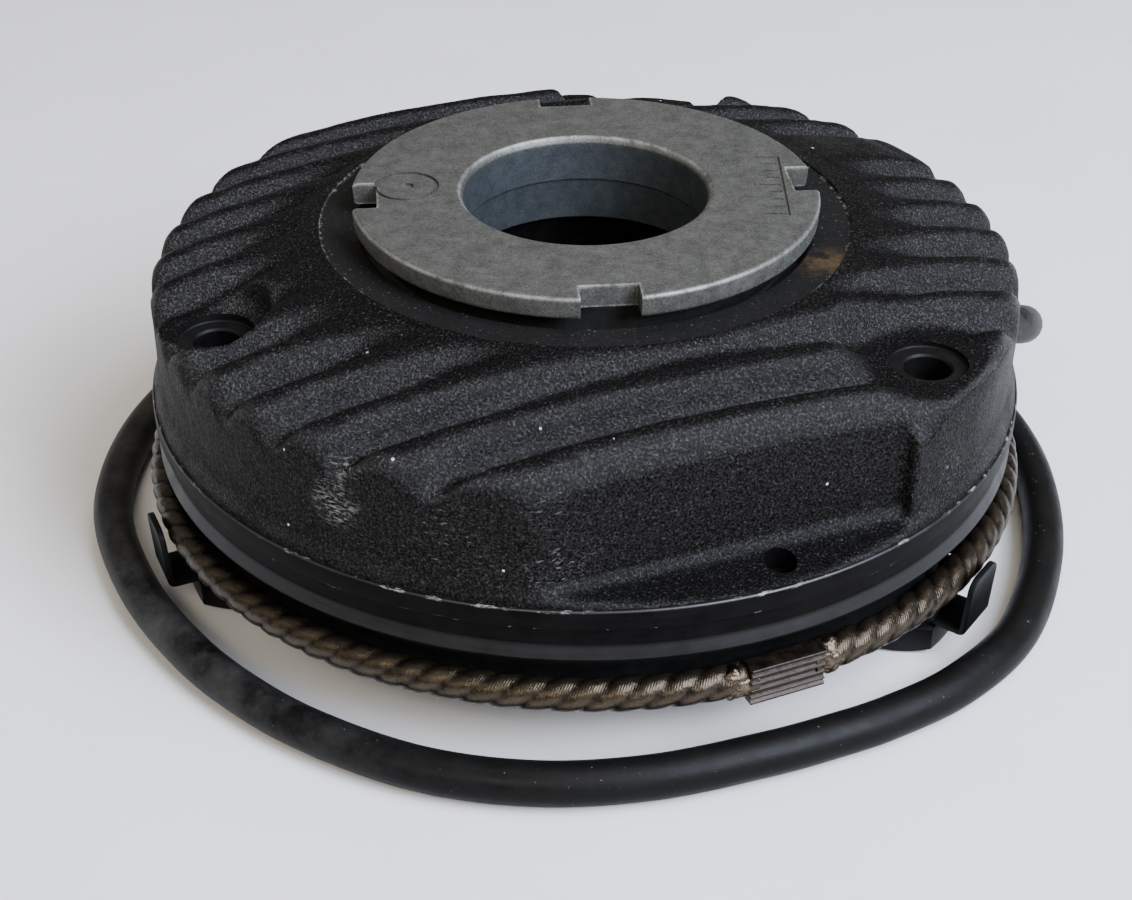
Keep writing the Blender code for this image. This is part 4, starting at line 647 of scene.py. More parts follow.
def cable_sheath(settings):
    """Extruded rubber sheath: smooth matt black-grey, with a few pale specks, and a pale film of dust and painted light
    on its left and on its raised bend.
    """
    material, tree, shader, place = new_material("extruded_rubber_sheath", 0.0, 0.46, Specular_IOR_Level=0.12)
    tree.links.new(sheen_by_tilt(tree, 0.08, 0.12, 0.14).outputs[0], shader.inputs["Specular IOR Level"])
    patches = add(tree, "TexNoise", {"Scale": cells(7.0), "Detail": 5.0, "Roughness": 0.7}, {"Vector": place})
    dust = add(tree, "TexNoise", {"Scale": cells(0.7), "Detail": 3.0, "Roughness": 0.7}, {"Vector": place})
    share = add(tree, "MapRange", {"From Min": 0.35, "From Max": 0.75}, {"Value": patches})
    dark = rgba(c * 0.62 for c in settings.sheath)
    tint = add(tree, "Mix", {"data_type": "RGBA", 6: dark, 7: rgba(settings.sheath)}, {0: share})
    specks = add(tree, "MapRange", {"From Min": 0.68, "From Max": 0.76, "To Max": 0.5}, {"Value": dust})
    tint = add(tree, "Mix", {"data_type": "RGBA", 7: rgba(linear("8d8c87"))}, {0: specks, 6: tint.outputs[2]})
    # Painted light: a pale film, blotched like dust, most of all on the cable's left and on the bend up to its exit
    side = add(tree, "SeparateXYZ", (), {0: place})
    painted_light_share = add(tree, "MapRange", {"From Min": -0.018, "From Max": -0.060, "To Max": 0.85}, {"Value": side})
    bend = add(tree, "MapRange", {"From Min": 0.014, "From Max": 0.022, "To Max": 0.95}, {"Value": side.outputs[2]})
    painted_light_share = add(tree, "Math", {"operation": "MAXIMUM"}, {0: painted_light_share, 1: bend})
    film = add(tree, "Math", {"operation": "MULTIPLY"}, {0: painted_light_share, 1: share})
    tint = add(tree, "Mix", {"data_type": "RGBA", 7: rgba(linear("474746"))}, {0: film, 6: tint.outputs[2]})
    tree.links.new(tint.outputs[2], shader.inputs["Base Color"])
    gloss = add(tree, "MapRange", {"From Min": 0.3, "From Max": 0.7, "To Min": 0.36, "To Max": 0.56}, {"Value": patches})
    tree.links.new(gloss.outputs[0], shader.inputs["Roughness"])
    relief = add(tree, "Bump", {"Strength": 0.5, "Distance": 0.00008}, {"Height": dust})
    tree.links.new(relief.outputs[0], shader.inputs["Normal"])
    return material


def steel_materials(settings):
    """The plainer finishes, each with its own patches, grain and relief."""
    black, lining = settings.black, settings.lining
    return {
        # Blackened steel: a thin oily oxide, nearly black with a soft gloss
        "black_steel": mottled("blackened_steel", [c * 1.5 for c in black], [c * 0.7 for c in black], 0.0, 0.44,
                               2.5, 0.4, 0.03, Specular_IOR_Level=0.14),
        # Spot faces under the screws: smooth black paint
        "seat": mottled("painted_spot_face", linear("101010"), linear("070707"), 0.0, 0.50, 2.0, 0.35, 0.03,
                        Specular_IOR_Level=0.16),
        # Ferrule of pressed steel, tarnished brown-grey
        "ferrule": mottled("pressed_tarnished_steel", linear("352c24"), linear("100c0a"), 0.70, 0.38, 1.2, 0.35, 0.05),
        # Soft solder fused over the rope's ends: bright and lumpy
        "solder": mottled("fused_soft_solder", linear("6e6253"), linear("30271f"), 1.0, 0.34, 0.9, 0.4, 0.10),
        # Pressed friction lining: matt, with brown and grey fibres and chips
        "lining": mottled("pressed_friction_lining", lining, [c * 0.45 for c in lining], 0.0, 0.85, 1.2, 0.35, 0.10,
                          0.06),
        # Machined cast aluminium: pale and softly bright
        "aluminium": mottled("machined_cast_aluminium", linear("c2c3c4"), linear("9a9b9c"), 1.0, 0.38, 3.0, 0.3, 0.02),
        # Hobbed steel: bright grey with an oil film
        "bright_steel": mottled("hobbed_bright_steel", linear("b5b3ae"), linear("85827c"), 1.0, 0.30, 2.4, 0.3, 0.02),
        # Drawn spring wire: dark straw grey
        "spring_wire": mottled("drawn_spring_wire", linear("8c8780"), linear("5a554e"), 1.0, 0.34, 1.5, 0.2, 0.02),
        # Moulded rubber of the grommet: matt black
        "rubber": mottled("moulded_rubber", linear("262626"), linear("151515"), 0.0, 0.62, 2.0, 0.4, 0.04),
        # Extruded PVC insulation, satin
        "brown": mottled("brown_pvc_insulation", linear("6a4028"), linear("4a2a1a"), 0.0, 0.38, 3.0, 0.5, 0.02),
        "blue": mottled("blue_pvc_insulation", linear("33558f"), linear("223c6a"), 0.0, 0.38, 3.0, 0.5, 0.02),
        # Tinned copper sleeves: bright white metal with a fine draw grain
        "tinned": mottled("tinned_copper", linear("cfccc4"), linear("a19e96"), 1.0, 0.28, 1.2, 0.3, 0.02),
        # Glass-filled polyamide of the bobbin: dull dark brown
        "bobbin": mottled("glass_filled_polyamide", linear("4c4a45"), linear("34322e"), 0.0, 0.55, 2.0, 0.3, 0.03),
        # Enamelled copper winding: red-brown under clear enamel
        "winding": mottled("enamelled_copper_winding", linear("b8703c"), linear("7c4424"), 0.8, 0.32, 0.8, 0.5, 0.15,
                           Coat_Weight=0.6),
        # Potting resin: poured, glossy black-brown
        "potting": mottled("poured_resin", linear("2c2927"), linear("1b1918"), 0.0, 0.25, 4.0, 0.8, 0.03),
    }


# Shapes of the casting

def crest_height(radius, settings):
    """Height of the ridge crests, which fall from the turned ring to the shoulder."""
    start = settings.wall_radius - SHOULDER
    share = (radius ** 2 - RECESS_RADIUS ** 2) / (start ** 2 - RECESS_RADIUS ** 2)
    return RING_FACE + RECESS_STEP - DOME_DROP * share


def smooth_step(value):
    value = min(max(value, 0.0), 1.0)
    return value * value * (3.0 - 2.0 * value)


def shoulder_height(radius, settings):
    """Height of the rounded shoulder, kept clear above the crests further in."""
    start = settings.wall_radius - SHOULDER
    if radius > start:
        drop = SHOULDER - math.sqrt(max(SHOULDER ** 2 - (radius - start) ** 2, 0.0))
        return crest_height(start, settings) - drop
    return crest_height(radius, settings) + 0.0018 * (1.0 - smooth_step((radius - start) / 0.0040 + 1.0))


def blended(first, second, width):
    """The lower of two heights, with a rounded change from one to the other."""
    near = max(width - abs(first - second), 0.0) / width
    return min(first, second) - near * near * width / 4.0


def dome_height(along, across, settings):
    """Height of the ribbed dome at a place given along and across the ribs."""
    radius = math.hypot(along, across)
    reach = math.hypot(along, across * 1.22)
    depth = settings.rib_depth * smooth_step((reach - RECESS_RADIUS - 0.0002) / 0.0210)
    depth *= smooth_step((radius - RECESS_RADIUS) / 0.0040)
    wave = 0.5 - 0.5 * math.cos(math.tau * (across + 0.0008) / settings.rib_pitch)
    # One valley that runs out before it reaches the rear right shoulder
    depth *= 1.0 - smooth_step((along - 0.030) / 0.012) * (1.0 - smooth_step((abs(across - 0.0124) - 0.0030) / 0.0020))
    height = crest_height(radius, settings) - depth * wave ** 1.45
    height -= 0.0016 * max((radius - settings.wall_radius + 0.0022) / 0.0022, 0.0) ** 2
    height = blended(height, shoulder_height(radius, settings), 0.0018)
    angle = math.radians(BOLT_AZIMUTHS["1"]) - settings.rib_angle
    away = math.hypot(along - BOLT_CIRCLE * math.cos(angle), across - BOLT_CIRCLE * math.sin(angle))
    blend = smooth_step((away - 0.0070) / 0.0070)
    return (RING_FACE - BOSS_DROP) * (1.0 - blend) + height * blend


def ribbed_block(settings):
    """A block under the ribbed dome, wider than the casting."""
    half = settings.band_radius + CLEAR
    shape = bmesh.new()
    bmesh.ops.create_grid(shape, x_segments=120, y_segments=230, size=half)
    for vert in shape.verts:
        vert.co.z = dome_height(vert.co.x, vert.co.y, settings)
    raised = bmesh.ops.extrude_face_region(shape, geom=shape.faces[:])
    for part in raised["geom"]:
        if isinstance(part, bmesh.types.BMVert):
            part.co.z = HOUSING_LOW
    bmesh.ops.rotate(shape, cent=(0.0, 0.0, 0.0), matrix=Matrix.Rotation(settings.rib_angle, 3, "Z"), verts=shape.verts)
    return add_piece("ribbed_block", close_up(shape))


def flat_tool(name, distance, end, side, corner, settings):
    """Takes off one flat: rounded over at the top, with a sloping ledge and a rounded inside corner."""
    direction = Matrix.Rotation(settings.rib_angle, 4, "Z")
    start = -(settings.wall_radius + CLEAR)
    far = settings.band_radius + CLEAR
    top = RING_FACE + CLEAR
    ledge = HOUSING_LOW + LEDGE_RISE
    edge = crest_height(distance - FLAT_ROUNDING, settings) + TOUCH_GAP
    corners = [
        (distance, ledge, 0.0016), (distance, edge, FLAT_ROUNDING), (distance - FLAT_ROUNDING, edge),
        (distance - FLAT_ROUNDING, top), (far, top), (far, ledge - LEDGE_SLOPE * (far - distance)),
    ]
    shape = prism(corners, end - start)
    cap = max(vert.co.y for vert in shape.verts) if side < 0.0 else min(vert.co.y for vert in shape.verts)
    inner = [
        line for line in shape.edges
        if all(abs(vert.co.y - cap) < 0.00001 and vert.co.x < distance + 0.00001 for vert in line.verts)
    ]
    bmesh.ops.bevel(shape, geom=inner, offset=corner, offset_type="OFFSET", segments=6, profile=0.5,
                    affect="EDGES", clamp_overlap=True, material=-1)
    middle = Matrix.Translation(((start + end) / 2.0, 0.0, 0.0))
    turn = Matrix.Rotation(math.radians(90.0) * side, 4, "Z")
    bmesh.ops.transform(shape, matrix=direction @ middle @ turn, verts=shape.verts)
    return add_piece(name, close_up(shape))


def pocket_tool(name, azimuth, radius, shift=(0.0, 0.0), flare=0.0022, fillet=0.0026):
    """A round pocket with a filleted floor and a flared mouth, which sinks a screw's seat into the ribs."""
    floor = RING_FACE - POCKET_DROP
    top = RING_FACE + CLEAR
    matrix = Matrix.Translation((*shift, 0.0)) @ at_azimuth(azimuth, BOLT_CIRCLE)
    return add_piece(name, turned([(0.0, top), (radius + flare * 1.6, top), (radius, floor, fillet), (0.0, floor)],
                                  64, matrix))


def casting_skin(settings):
    """The cast part above the band: all edges rounded and the skin a little uneven, as sand leaves them."""
    wall = settings.wall_radius
    foot = HOUSING_LOW + BAND_HEIGHT
    flare = settings.band_radius - 0.0003
    edge = crest_height(wall - SHOULDER, settings)
    skin = add_piece("casting_skin", turned([
        (0.0, RING_FACE + CLEAR), (RECESS_RADIUS + CLEAR, RING_FACE + CLEAR), (wall, edge - 0.0002, 0.0040),
        (wall, foot + 0.0030, 0.0030), (flare, foot + 0.0004), (flare, foot - 0.0024), (0.0, foot - 0.0024)]))
    combine(skin, [ribbed_block(settings)], "INTERSECT")
    combine(skin, [
        flat_tool("front_flat", wall - 0.0065, 0.0230, -1.0, 0.0018, settings),
        flat_tool("rear_flat", wall - 0.0070, 0.0162, 1.0, 0.0040, settings),
        pocket_tool("left_pocket", BOLT_AZIMUTHS["2"], 0.0066),
        pocket_tool("left_mouth", BOLT_AZIMUTHS["2"], 0.0064, (-0.0047, -0.0004)),
        pocket_tool("left_outlet", BOLT_AZIMUTHS["2"], 0.0062, (-0.0094, -0.0008)),
        pocket_tool("rear_pocket", BOLT_AZIMUTHS["3"], 0.0150, (0.0046, 0.0062)),
        pocket_tool("rear_outlet", BOLT_AZIMUTHS["3"], 0.0080, (-0.0060, 0.0080)),
    ])
    remesh = skin.modifiers.new("Skin", "REMESH")
    remesh.mode = "VOXEL"
    remesh.voxel_size = settings.grain
    smooth = skin.modifiers.new("Fettled", "SMOOTH")
    smooth.factor = 0.5
    smooth.iterations = 6
    baked(skin)
    shape = bmesh.new()
    shape.from_mesh(skin.data)
    shape.normal_update()
    for vert in shape.verts:
        uneven = noise.noise(vert.co * cells(5.0)) * 0.00010 + noise.noise(vert.co * cells(1.9)) * 0.00006
        vert.co += vert.normal * uneven
    shape.to_mesh(skin.data)
    shape.free()
    return skin


def machining_tools(settings):
    """Cutters for the turned chamber and ring, the coil groove, the holes and the cable's pocket."""
    low = HOUSING_LOW - CLEAR
    top = RING_FACE + CLEAR
    tools = [turned([
        (0.0, top), (RECESS_RADIUS, top), (RECESS_RADIUS, RING_FACE, 0.0003), (CHAMBER_RADIUS + 0.0006, RING_FACE),
        (CHAMBER_RADIUS, RING_FACE - 0.0006), (CHAMBER_RADIUS, CHAMBER_FLOOR), (SHAFT_BORE_RADIUS, CHAMBER_FLOOR),
        (SHAFT_BORE_RADIUS, low), (0.0, low)])]
    groove_top = HOUSING_LOW + 0.0173
    tools.append(turned([(0.0360, groove_top, 0.0004), (0.04935, groove_top, 0.0004), (0.04935, low), (0.0360, low)]))
    for i in range(6):
        tools.append(rod(0.0041, low, CHAMBER_FLOOR + 0.0005, matrix=at_azimuth(30.0 + 60.0 * i, 0.0270)))
    ledge = HOUSING_LOW + LEDGE_RISE
    place = Matrix.Rotation(settings.rib_angle, 4, "Z") @ Matrix.Translation((0.0038, -0.0606, 0.0))
    tools.append(rod(0.00215, ledge - 0.0034, ledge + CLEAR, matrix=place))
    out = settings.band_radius + CLEAR
    tools.append(block((out - CABLE_POCKET_FLOOR, 0.0130, 0.0096),
                       ((out + CABLE_POCKET_FLOOR) / 2.0, CABLE_EXIT.y + 0.0015, CABLE_EXIT.z - 0.0009), 0.0024))
    exit_line = along_x((0.0, CABLE_EXIT.y, CABLE_EXIT.z))
    tools.append(rod(0.0045, 0.051875, CABLE_POCKET_FLOOR + CLEAR, matrix=exit_line))
    tools.append(rod(0.0026, 0.0473, CABLE_POCKET_FLOOR, matrix=exit_line))
    return tools


def seat_tools():
    """Cutters for the screws' painted spot faces, their holes and the sleeve bolts' threads."""
    low = HOUSING_LOW - CLEAR
    thread = HOUSING_LOW + 0.0133
    tools = []
    for number, azimuth in BOLT_AZIMUTHS.items():
        seat = RING_FACE - 0.0008 - (BOSS_DROP if number == "1" else POCKET_DROP)
        tools.append(turned([
            (0.0, RING_FACE + CLEAR), (0.0054, RING_FACE + CLEAR), (0.0054, seat, 0.0003),
            (SCREW_HOLE_RADIUS + 0.0003, seat), (SCREW_HOLE_RADIUS, seat - 0.0003), (SCREW_HOLE_RADIUS, thread),
            (SHANK_RADIUS + TOUCH_GAP, thread), (SHANK_RADIUS + TOUCH_GAP, low), (0.0, low)],
            64, at_azimuth(azimuth, BOLT_CIRCLE)))
    return tools


def make_housing(settings):
    cast = painted_casting(settings)
    machined = turned_black(settings)
    housing = casting_skin(settings)
    housing.name = "brake_housing"
    housing.data.materials.clear()
    housing.data.materials.append(cast)
    band = settings.band_radius
    top = HOUSING_LOW + BAND_HEIGHT
    combine(housing, [add_piece("band", turned([
        (0.0, top), (band, top, 0.0004), (band, HOUSING_LOW + 0.0053, 0.0001), (band - 0.0010, HOUSING_LOW + 0.0053),
        (band - 0.0010, HOUSING_LOW + 0.0022, 0.0006), (band - 0.0001, HOUSING_LOW + 0.0003, 0.0002),
        (band - 0.0003, HOUSING_LOW), (0.0, HOUSING_LOW)]), machined)],
        "UNION")
    painted = steel_finishes()["seat"]
    tools = [add_piece(f"tool_{i}", shape, machined) for i, shape in enumerate(machining_tools(settings))]
    tools += [add_piece(f"seat_{i}", shape, painted) for i, shape in enumerate(seat_tools())]
    combine(housing, tools)
    return dress(housing, "housing", "cast_housing", "magnet_housing")


# Cable

def spline_point(before, start, end, after, share):
    """A point between start and end on a Catmull-Rom curve."""
    square = share * share
    cube = square * share
    return 0.5 * (
        2.0 * start + (end - before) * share + (2.0 * before - 5.0 * start + 4.0 * end - after) * square
        + (3.0 * start - before - 3.0 * end + after) * cube)


def cable_line():
    """The cable's centre line, as close points along a smooth curve through its route."""
    route = [Vector(point) for point in CABLE_ROUTE]
    ends = [2.0 * route[0] - route[1]] + route + [2.0 * route[-1] - route[-2]]
    line = []
    for i in range(len(route) - 1):
        for step in range(SPLINE_STEPS):
            line.append(spline_point(*ends[i:i + 4], step / SPLINE_STEPS))
    line.append(route[-1])
    return line


def make_cable(settings):
    line = cable_line()
    cable = tube("sheathed_cable", [line], settings.radius, 7, cable_sheath(settings))
    dress(cable, "housing", "sheath", "cable")
    finishes = steel_finishes()
    end = line[-1]
    direction = (line[-1] - line[-SPLINE_STEPS]).normalized()
    side = direction.cross(Vector((0.0, 0.0, 1.0))).normalized()
    sleeve_radius = 0.0014
    down = Vector((0.0, 0.0, settings.core_radius + sleeve_radius - settings.radius)) / 2.0
    with_pieces = []
    for number, sign, finish in (("1", 1.0, "brown"), ("2", -1.0, "blue")):
        sideways = side * sign * (settings.core_radius + TOUCH_GAP)
        first = end + sideways
        bare = first + direction * (settings.core_length + TOUCH_GAP) + side * sign * 0.0016 + down
        middle = (first + bare) / 2.0 + down / 4.0
        ends = [2.0 * first - middle, first, middle, bare, 2.0 * bare - middle]
        path = [spline_point(*ends[i:i + 4], step / 8) for i in range(2) for step in range(8)] + [bare]
        core = tube(f"insulated_core_{number}", [path], settings.core_radius, 4, finishes[finish])
        dress(core, "housing", "core_" + finish, f"cable_core_{number}")
        heading = (bare - middle).normalized()
        half = settings.sleeve_length / 2.0
        crimp = [(0.0, -half), (sleeve_radius, -half, 0.0002), (sleeve_radius, -half * 0.55, 0.0002)]
        for i in range(4):
            notch = -half * 0.45 + i * half * 0.35
            crimp += [(sleeve_radius * 0.88, notch), (sleeve_radius, notch + half * 0.16, 0.0001)]
        crimp += [(sleeve_radius * 0.96, half, 0.0003), (0.0, half)]
        sleeve = turned(crimp, 24, towards(bare + heading * half, heading))
        sleeve = add_piece(f"crimped_sleeve_{number}", sleeve, finishes["tinned"])
        dress(sleeve, "housing", "tinned", f"wire_end_sleeve_{number}")
        with_pieces += [core, sleeve]
    start = CABLE_POCKET_FLOOR + TOUCH_GAP
    bore = settings.radius + 0.0004
    deep = 0.052175
    grommet = turned([
        (bore, start + 0.0012, 0.0003), (0.0036, start + 0.0012, 0.0003), (0.0036, start, 0.0002), (0.0042, start),
        (0.0042, deep, 0.0003), (0.0021, deep), (0.0021, deep + 0.0006), (bore, deep + 0.0006)],
        HOLE_STEPS, along_x((0.0, CABLE_EXIT.y, CABLE_EXIT.z)))
    grommet = add_piece("rubber_grommet", grommet, finishes["rubber"])
    dress(grommet, "housing", "rubber", "cable_grommet")
    with_pieces.append(grommet)
    return cable


# Nut

def make_nut(settings):
    rim = settings.flange_radius
    bore = settings.bore_radius
    flange_low = NUT_HIGH - FLANGE
    relief = rim - settings.notch_depth - 0.0006
    sleeve = rim - 0.0014
    nut = add_piece("zinc_adjusting_nut", turned([
        (bore + 0.0008, NUT_HIGH, 0.0002), (rim, NUT_HIGH, 0.0007), (rim - 0.0002, flange_low, 0.0006),
        (relief, flange_low), (relief, flange_low - 0.0050, 0.0005), (sleeve, flange_low - 0.0056), (sleeve, NUT_LOW), (bore + 0.0010, NUT_LOW, 0.0003), (bore + 0.0003, NUT_HIGH - 0.0072),
        (bore, NUT_HIGH - 0.0070), (bore, NUT_HIGH - 0.0008, 0.0003)], ROUND_STEPS), zinc_casting(settings))
    depth = settings.notch_depth + CLEAR
    tools = []
    for i in range(4):
        centre = (rim - settings.notch_depth + depth / 2.0, 0.0, NUT_HIGH)
        tools.append(add_piece(f"notch_{i}", block((depth, settings.notch_width, 0.0100), centre, 0.0003,
                                                   at_azimuth(NOTCH_AZIMUTH + 90.0 * i))))
    combine(nut, tools)
    soften_edges(nut, 0.00030, 2)
    engraved = NUT_HIGH - 0.00035
    above = NUT_HIGH + 0.0010
    marks = [turned([(0.0042, above), (0.0048, above), (0.0048, engraved), (0.0042, engraved)], 48,
                    Matrix.Translation((-0.0260, 0.0, 0.0))),
             rod(0.0011, engraved, above, matrix=Matrix.Translation((-0.0260, 0.0, 0.0))),
             block((0.0004, 0.0200, 0.0012), (0.0288, 0.0010, above - 0.00069))]
    for i in range(9):
        width = 0.0030 if i % 4 == 0 else 0.0018
        marks.append(block((width, 0.0004, 0.0012), (0.0284 - width / 2.0, -0.0085 + 0.0024 * i, above - 0.00069)))
    combine(nut, [add_piece(f"mark_{i}", shape) for i, shape in enumerate(marks)])
    even_faces(nut)
    return dress(nut, "nut", "zinc_nut", "adjusting_nut")


# Rope ring

def lay_strands(mesh, settings, centre_z):
    """Presses the strands' lobes into a plain ring: broad rounded lobes with tight seams between them."""
    lays = round(math.tau * settings.ring_radius / settings.pitch)
    for vert in mesh.vertices:
        out = math.hypot(vert.co.x, vert.co.y)
        azimuth = math.atan2(vert.co.y, vert.co.x)
        inward, upward = out - settings.ring_radius, vert.co.z - centre_z
        around = math.atan2(upward, inward)
        turn = lays * azimuth - around
        lobe = abs(math.sin(1.5 * turn)) ** 0.42
        reach = settings.rope_radius - 0.00048 * (1.0 - lobe)
        reach += 0.00008 * noise.noise(vert.co * cells(1.7))
        out = settings.ring_radius + reach * math.cos(around)
        vert.co = Vector((out * math.cos(azimuth), out * math.sin(azimuth), centre_z + reach * math.sin(around)))


def rope_plate(settings, centre_z, finish):
    """The crimped plate over the rope's joint: straight, with thin ridges left along its pressed face."""
    depth, height, wide = 0.0030, 0.0057, 0.0108
    section = [(-depth, -height / 2.0, 0.0005), (0.0, -height / 2.0, 0.0002), (0.0, 0.0003 - height / 2.0, 0.0001),
               (-0.0004, 0.0007 - height / 2.0, 0.0001)]
    for i in range(4):
        line = height * ((i + 1) / 5.0 - 0.5)
        section += [(-0.0004, line - 0.00030, 0.0001), (0.0, line - 0.00008, 0.00005), (0.0, line + 0.00008, 0.00005),
                    (-0.0004, line + 0.00030, 0.0001)]
    section += [(-0.0004, height / 2.0 - 0.0007, 0.0001), (0.0, height / 2.0 - 0.0003, 0.0001), (0.0, height / 2.0, 0.0002),
                (-depth, height / 2.0, 0.0005)]
    plate = prism(section, wide, at_azimuth(ROPE_JOINT, settings.ring_radius + 0.00215, centre_z))
    return add_piece("crimped_ferrule", plate, finish, sharp=35.0)


def make_rope(settings):
    finishes = steel_finishes()
    centre_z = PLATE_LOW + ROPE_RISE
    half = math.degrees(0.0054 / settings.ring_radius)
    start, span, steps = ROPE_JOINT + half - 1.2, 360.0 - 2.0 * half + 2.4, 1500
    path = [at_azimuth(start + span * i / steps, settings.ring_radius, centre_z).translation for i in range(steps + 1)]
    rope = tube("stranded_rope_ring", [path], settings.rope_radius, 8, tarnished_wire(settings))
    lay_strands(rope.data, settings, centre_z)
    dress(rope, "armature", "rope", "rope_ring")
    dress(rope_plate(settings, centre_z, finishes["ferrule"]), "armature", "rope", "rope_ferrule")
    # The rope's ends, fused into rough lumps that reach under the plate
    lumps = bmesh.new()
    for sign in (-1.0, 1.0):
        lump = bmesh.new()
        bmesh.ops.create_icosphere(lump, subdivisions=5, radius=0.0025)
        for vert in lump.verts:
            vert.co *= 1.0 + 0.16 * noise.noise(vert.co * cells(1.4) + Vector((sign, 0.0, 0.0)))
            vert.co *= 1.0 + 0.05 * noise.noise(vert.co * cells(0.5))
        bmesh.ops.scale(lump, vec=(0.94, 1.10, 0.98), verts=lump.verts)
        bmesh.ops.transform(lump, matrix=at_azimuth(ROPE_JOINT + sign * (half + 1.3), settings.ring_radius, centre_z),
                            verts=lump.verts)
        joined(lumps, lump)
    lumps = add_piece("fused_rope_ends", close_up(lumps), finishes["solder"])
    dress(lumps, "armature", "rope")


# Armature plate, bolts and clips

def make_plate():
    finish = steel_finishes()["black_steel"]
    plate = add_piece("armature_disc", turned([
        (PLATE_RADIUS, PLATE_HIGH, 0.0006), (PLATE_RADIUS, PLATE_LOW, 0.0006), (0.0185, PLATE_LOW, 0.0003),
        (0.0185, PLATE_HIGH, 0.0003)]), finish)
    width = 2.0 * (SHANK_RADIUS + TOUCH_GAP)
    middle = (PLATE_LOW + PLATE_HIGH) / 2.0
    tall = PLATE_HIGH - PLATE_LOW + 2.0 * CLEAR
    tools = []
    for number, azimuth in BOLT_AZIMUTHS.items():
        place = at_azimuth(azimuth, BOLT_CIRCLE)
        tools.append(add_piece("hole_" + number, rod(width / 2.0, PLATE_LOW - CLEAR, PLATE_HIGH + CLEAR, matrix=place)))
        tools.append(add_piece("slot_" + number, block((0.0120, width, tall), (0.0060, 0.0, middle), 0.0, place)))
    combine(plate, tools)
    soften_edges(plate, 0.0003, 2)
    return dress(plate, "armature", "dark_steel", "armature_plate")


def hexagon(name, low, high, across, turned_end, material):
    """A hexagon with its corners turned off at one end."""
    corner = across / math.sqrt(3.0)
    shape = bmesh.new()
    bmesh.ops.create_cone(shape, cap_ends=True, segments=6, radius1=corner, radius2=corner, depth=high - low)
    bmesh.ops.translate(shape, vec=(0.0, 0.0, (low + high) / 2.0), verts=shape.verts)
    item = add_piece(name, shape, material)
    inner, beyond = across / 2.0 - 0.0006, corner + TOUCH_GAP
    rise = (beyond - inner) * math.tan(math.radians(30.0))
    if turned_end == "low":
        corners = [(0.0, high + CLEAR), (beyond, high + CLEAR), (beyond, low + rise), (inner, low), (0.0, low)]
    else:
        corners = [(0.0, high), (inner, high), (beyond, high - rise), (beyond, low - CLEAR), (0.0, low - CLEAR)]
    return combine(item, [add_piece("chamfer", turned(corners, 96), material)], "INTERSECT")


def place_three(item, stem, node_stem, body, slot):
    """Sets a piece made on the axis at the first bolt, and copies of it at the others."""
    for number, azimuth in BOLT_AZIMUTHS.items():
        mesh = item.data.copy()
        mesh.transform(at_azimuth(azimuth, BOLT_CIRCLE))
        placed = bpy.data.objects.new(stem + number, mesh)
        bpy.context.scene.collection.objects.link(placed)
        dress(placed, body, slot, node_stem + number)
    bpy.data.objects.remove(item, do_unlink=True)


def make_bolts(settings):
    finish = steel_finishes()["black_steel"]
    head = hexagon("head", 0.0, settings.head_height, settings.across_flats, "low", finish)
    shank = turned([(0.0, BOLT_HIGH), (SHANK_RADIUS, BOLT_HIGH, 0.0006), (SHANK_RADIUS, 0.0023), (0.0, 0.0023)], 64)
    combine(head, [add_piece("shank", shank, finish)], "UNION")
    combine(head, [add_piece("bore", rod(SCREW_HOLE_RADIUS, -CLEAR, BOLT_HIGH + CLEAR), finish)])
    soften_edges(head, 0.00025, 2)
    place_three(head, "hexagon_sleeve_", "sleeve_bolt_", "housing", "dark_steel")
    nut = hexagon("nut", LOCK_NUT_LOW, LOCK_NUT_HIGH, settings.across_flats, "high", finish)
    combine(nut, [add_piece("nut_bore", rod(SHANK_RADIUS + TOUCH_GAP, 0.0, LOCK_NUT_HIGH + CLEAR), finish)])
    soften_edges(nut, 0.00025, 2)
    place_three(nut, "hexagon_nut_", "lock_nut_", "housing", "dark_steel")


def make_clips(settings):
    """Flat spring clips, each with an eye round its bolt and a tab that stands up outside the rope."""
    finish = steel_finishes()["black_steel"]
    thick = 0.0009
    inner = 0.0671 - BOLT_CIRCLE
    high = CLIP_LOW + thick
    tip = CLIP_HIGH + 0.0020
    width = settings.clip_width
    clip = add_piece("eye", rod(0.0078, CLIP_LOW, high, steps=64), finish)
    # Arm and tab as one bent strip, its section drawn along the radius, the tab leaning a little outwards
    lean = 0.0005
    strip = prism([
        (0.0, CLIP_LOW), (inner + thick, CLIP_LOW, 0.0010), (inner + thick + lean, tip),
        (inner + lean, tip), (inner, high, 0.0003), (0.0, high)], width)
    strip = add_piece("strip", strip, finish)
    corner = 0.0020
    rounding = prism([
        (-width / 2.0, 0.0), (width / 2.0, 0.0), (width / 2.0, tip, corner), (-width / 2.0, tip, corner)],
        0.0600, Matrix.Rotation(math.pi / 2.0, 4, "Z"))
    combine(strip, [add_piece("rounding", rounding, finish)], "INTERSECT")
    combine(clip, [strip], "UNION", "EXACT")
    combine(clip, [add_piece("hole", rod(SHANK_RADIUS + TOUCH_GAP, 0.0, high + CLEAR), finish)])
    soften_edges(clip, 0.00012, 2)
    place_three(clip, "spring_clip_", "retaining_clip_", "housing", "dark_steel")


# Rotor and hub

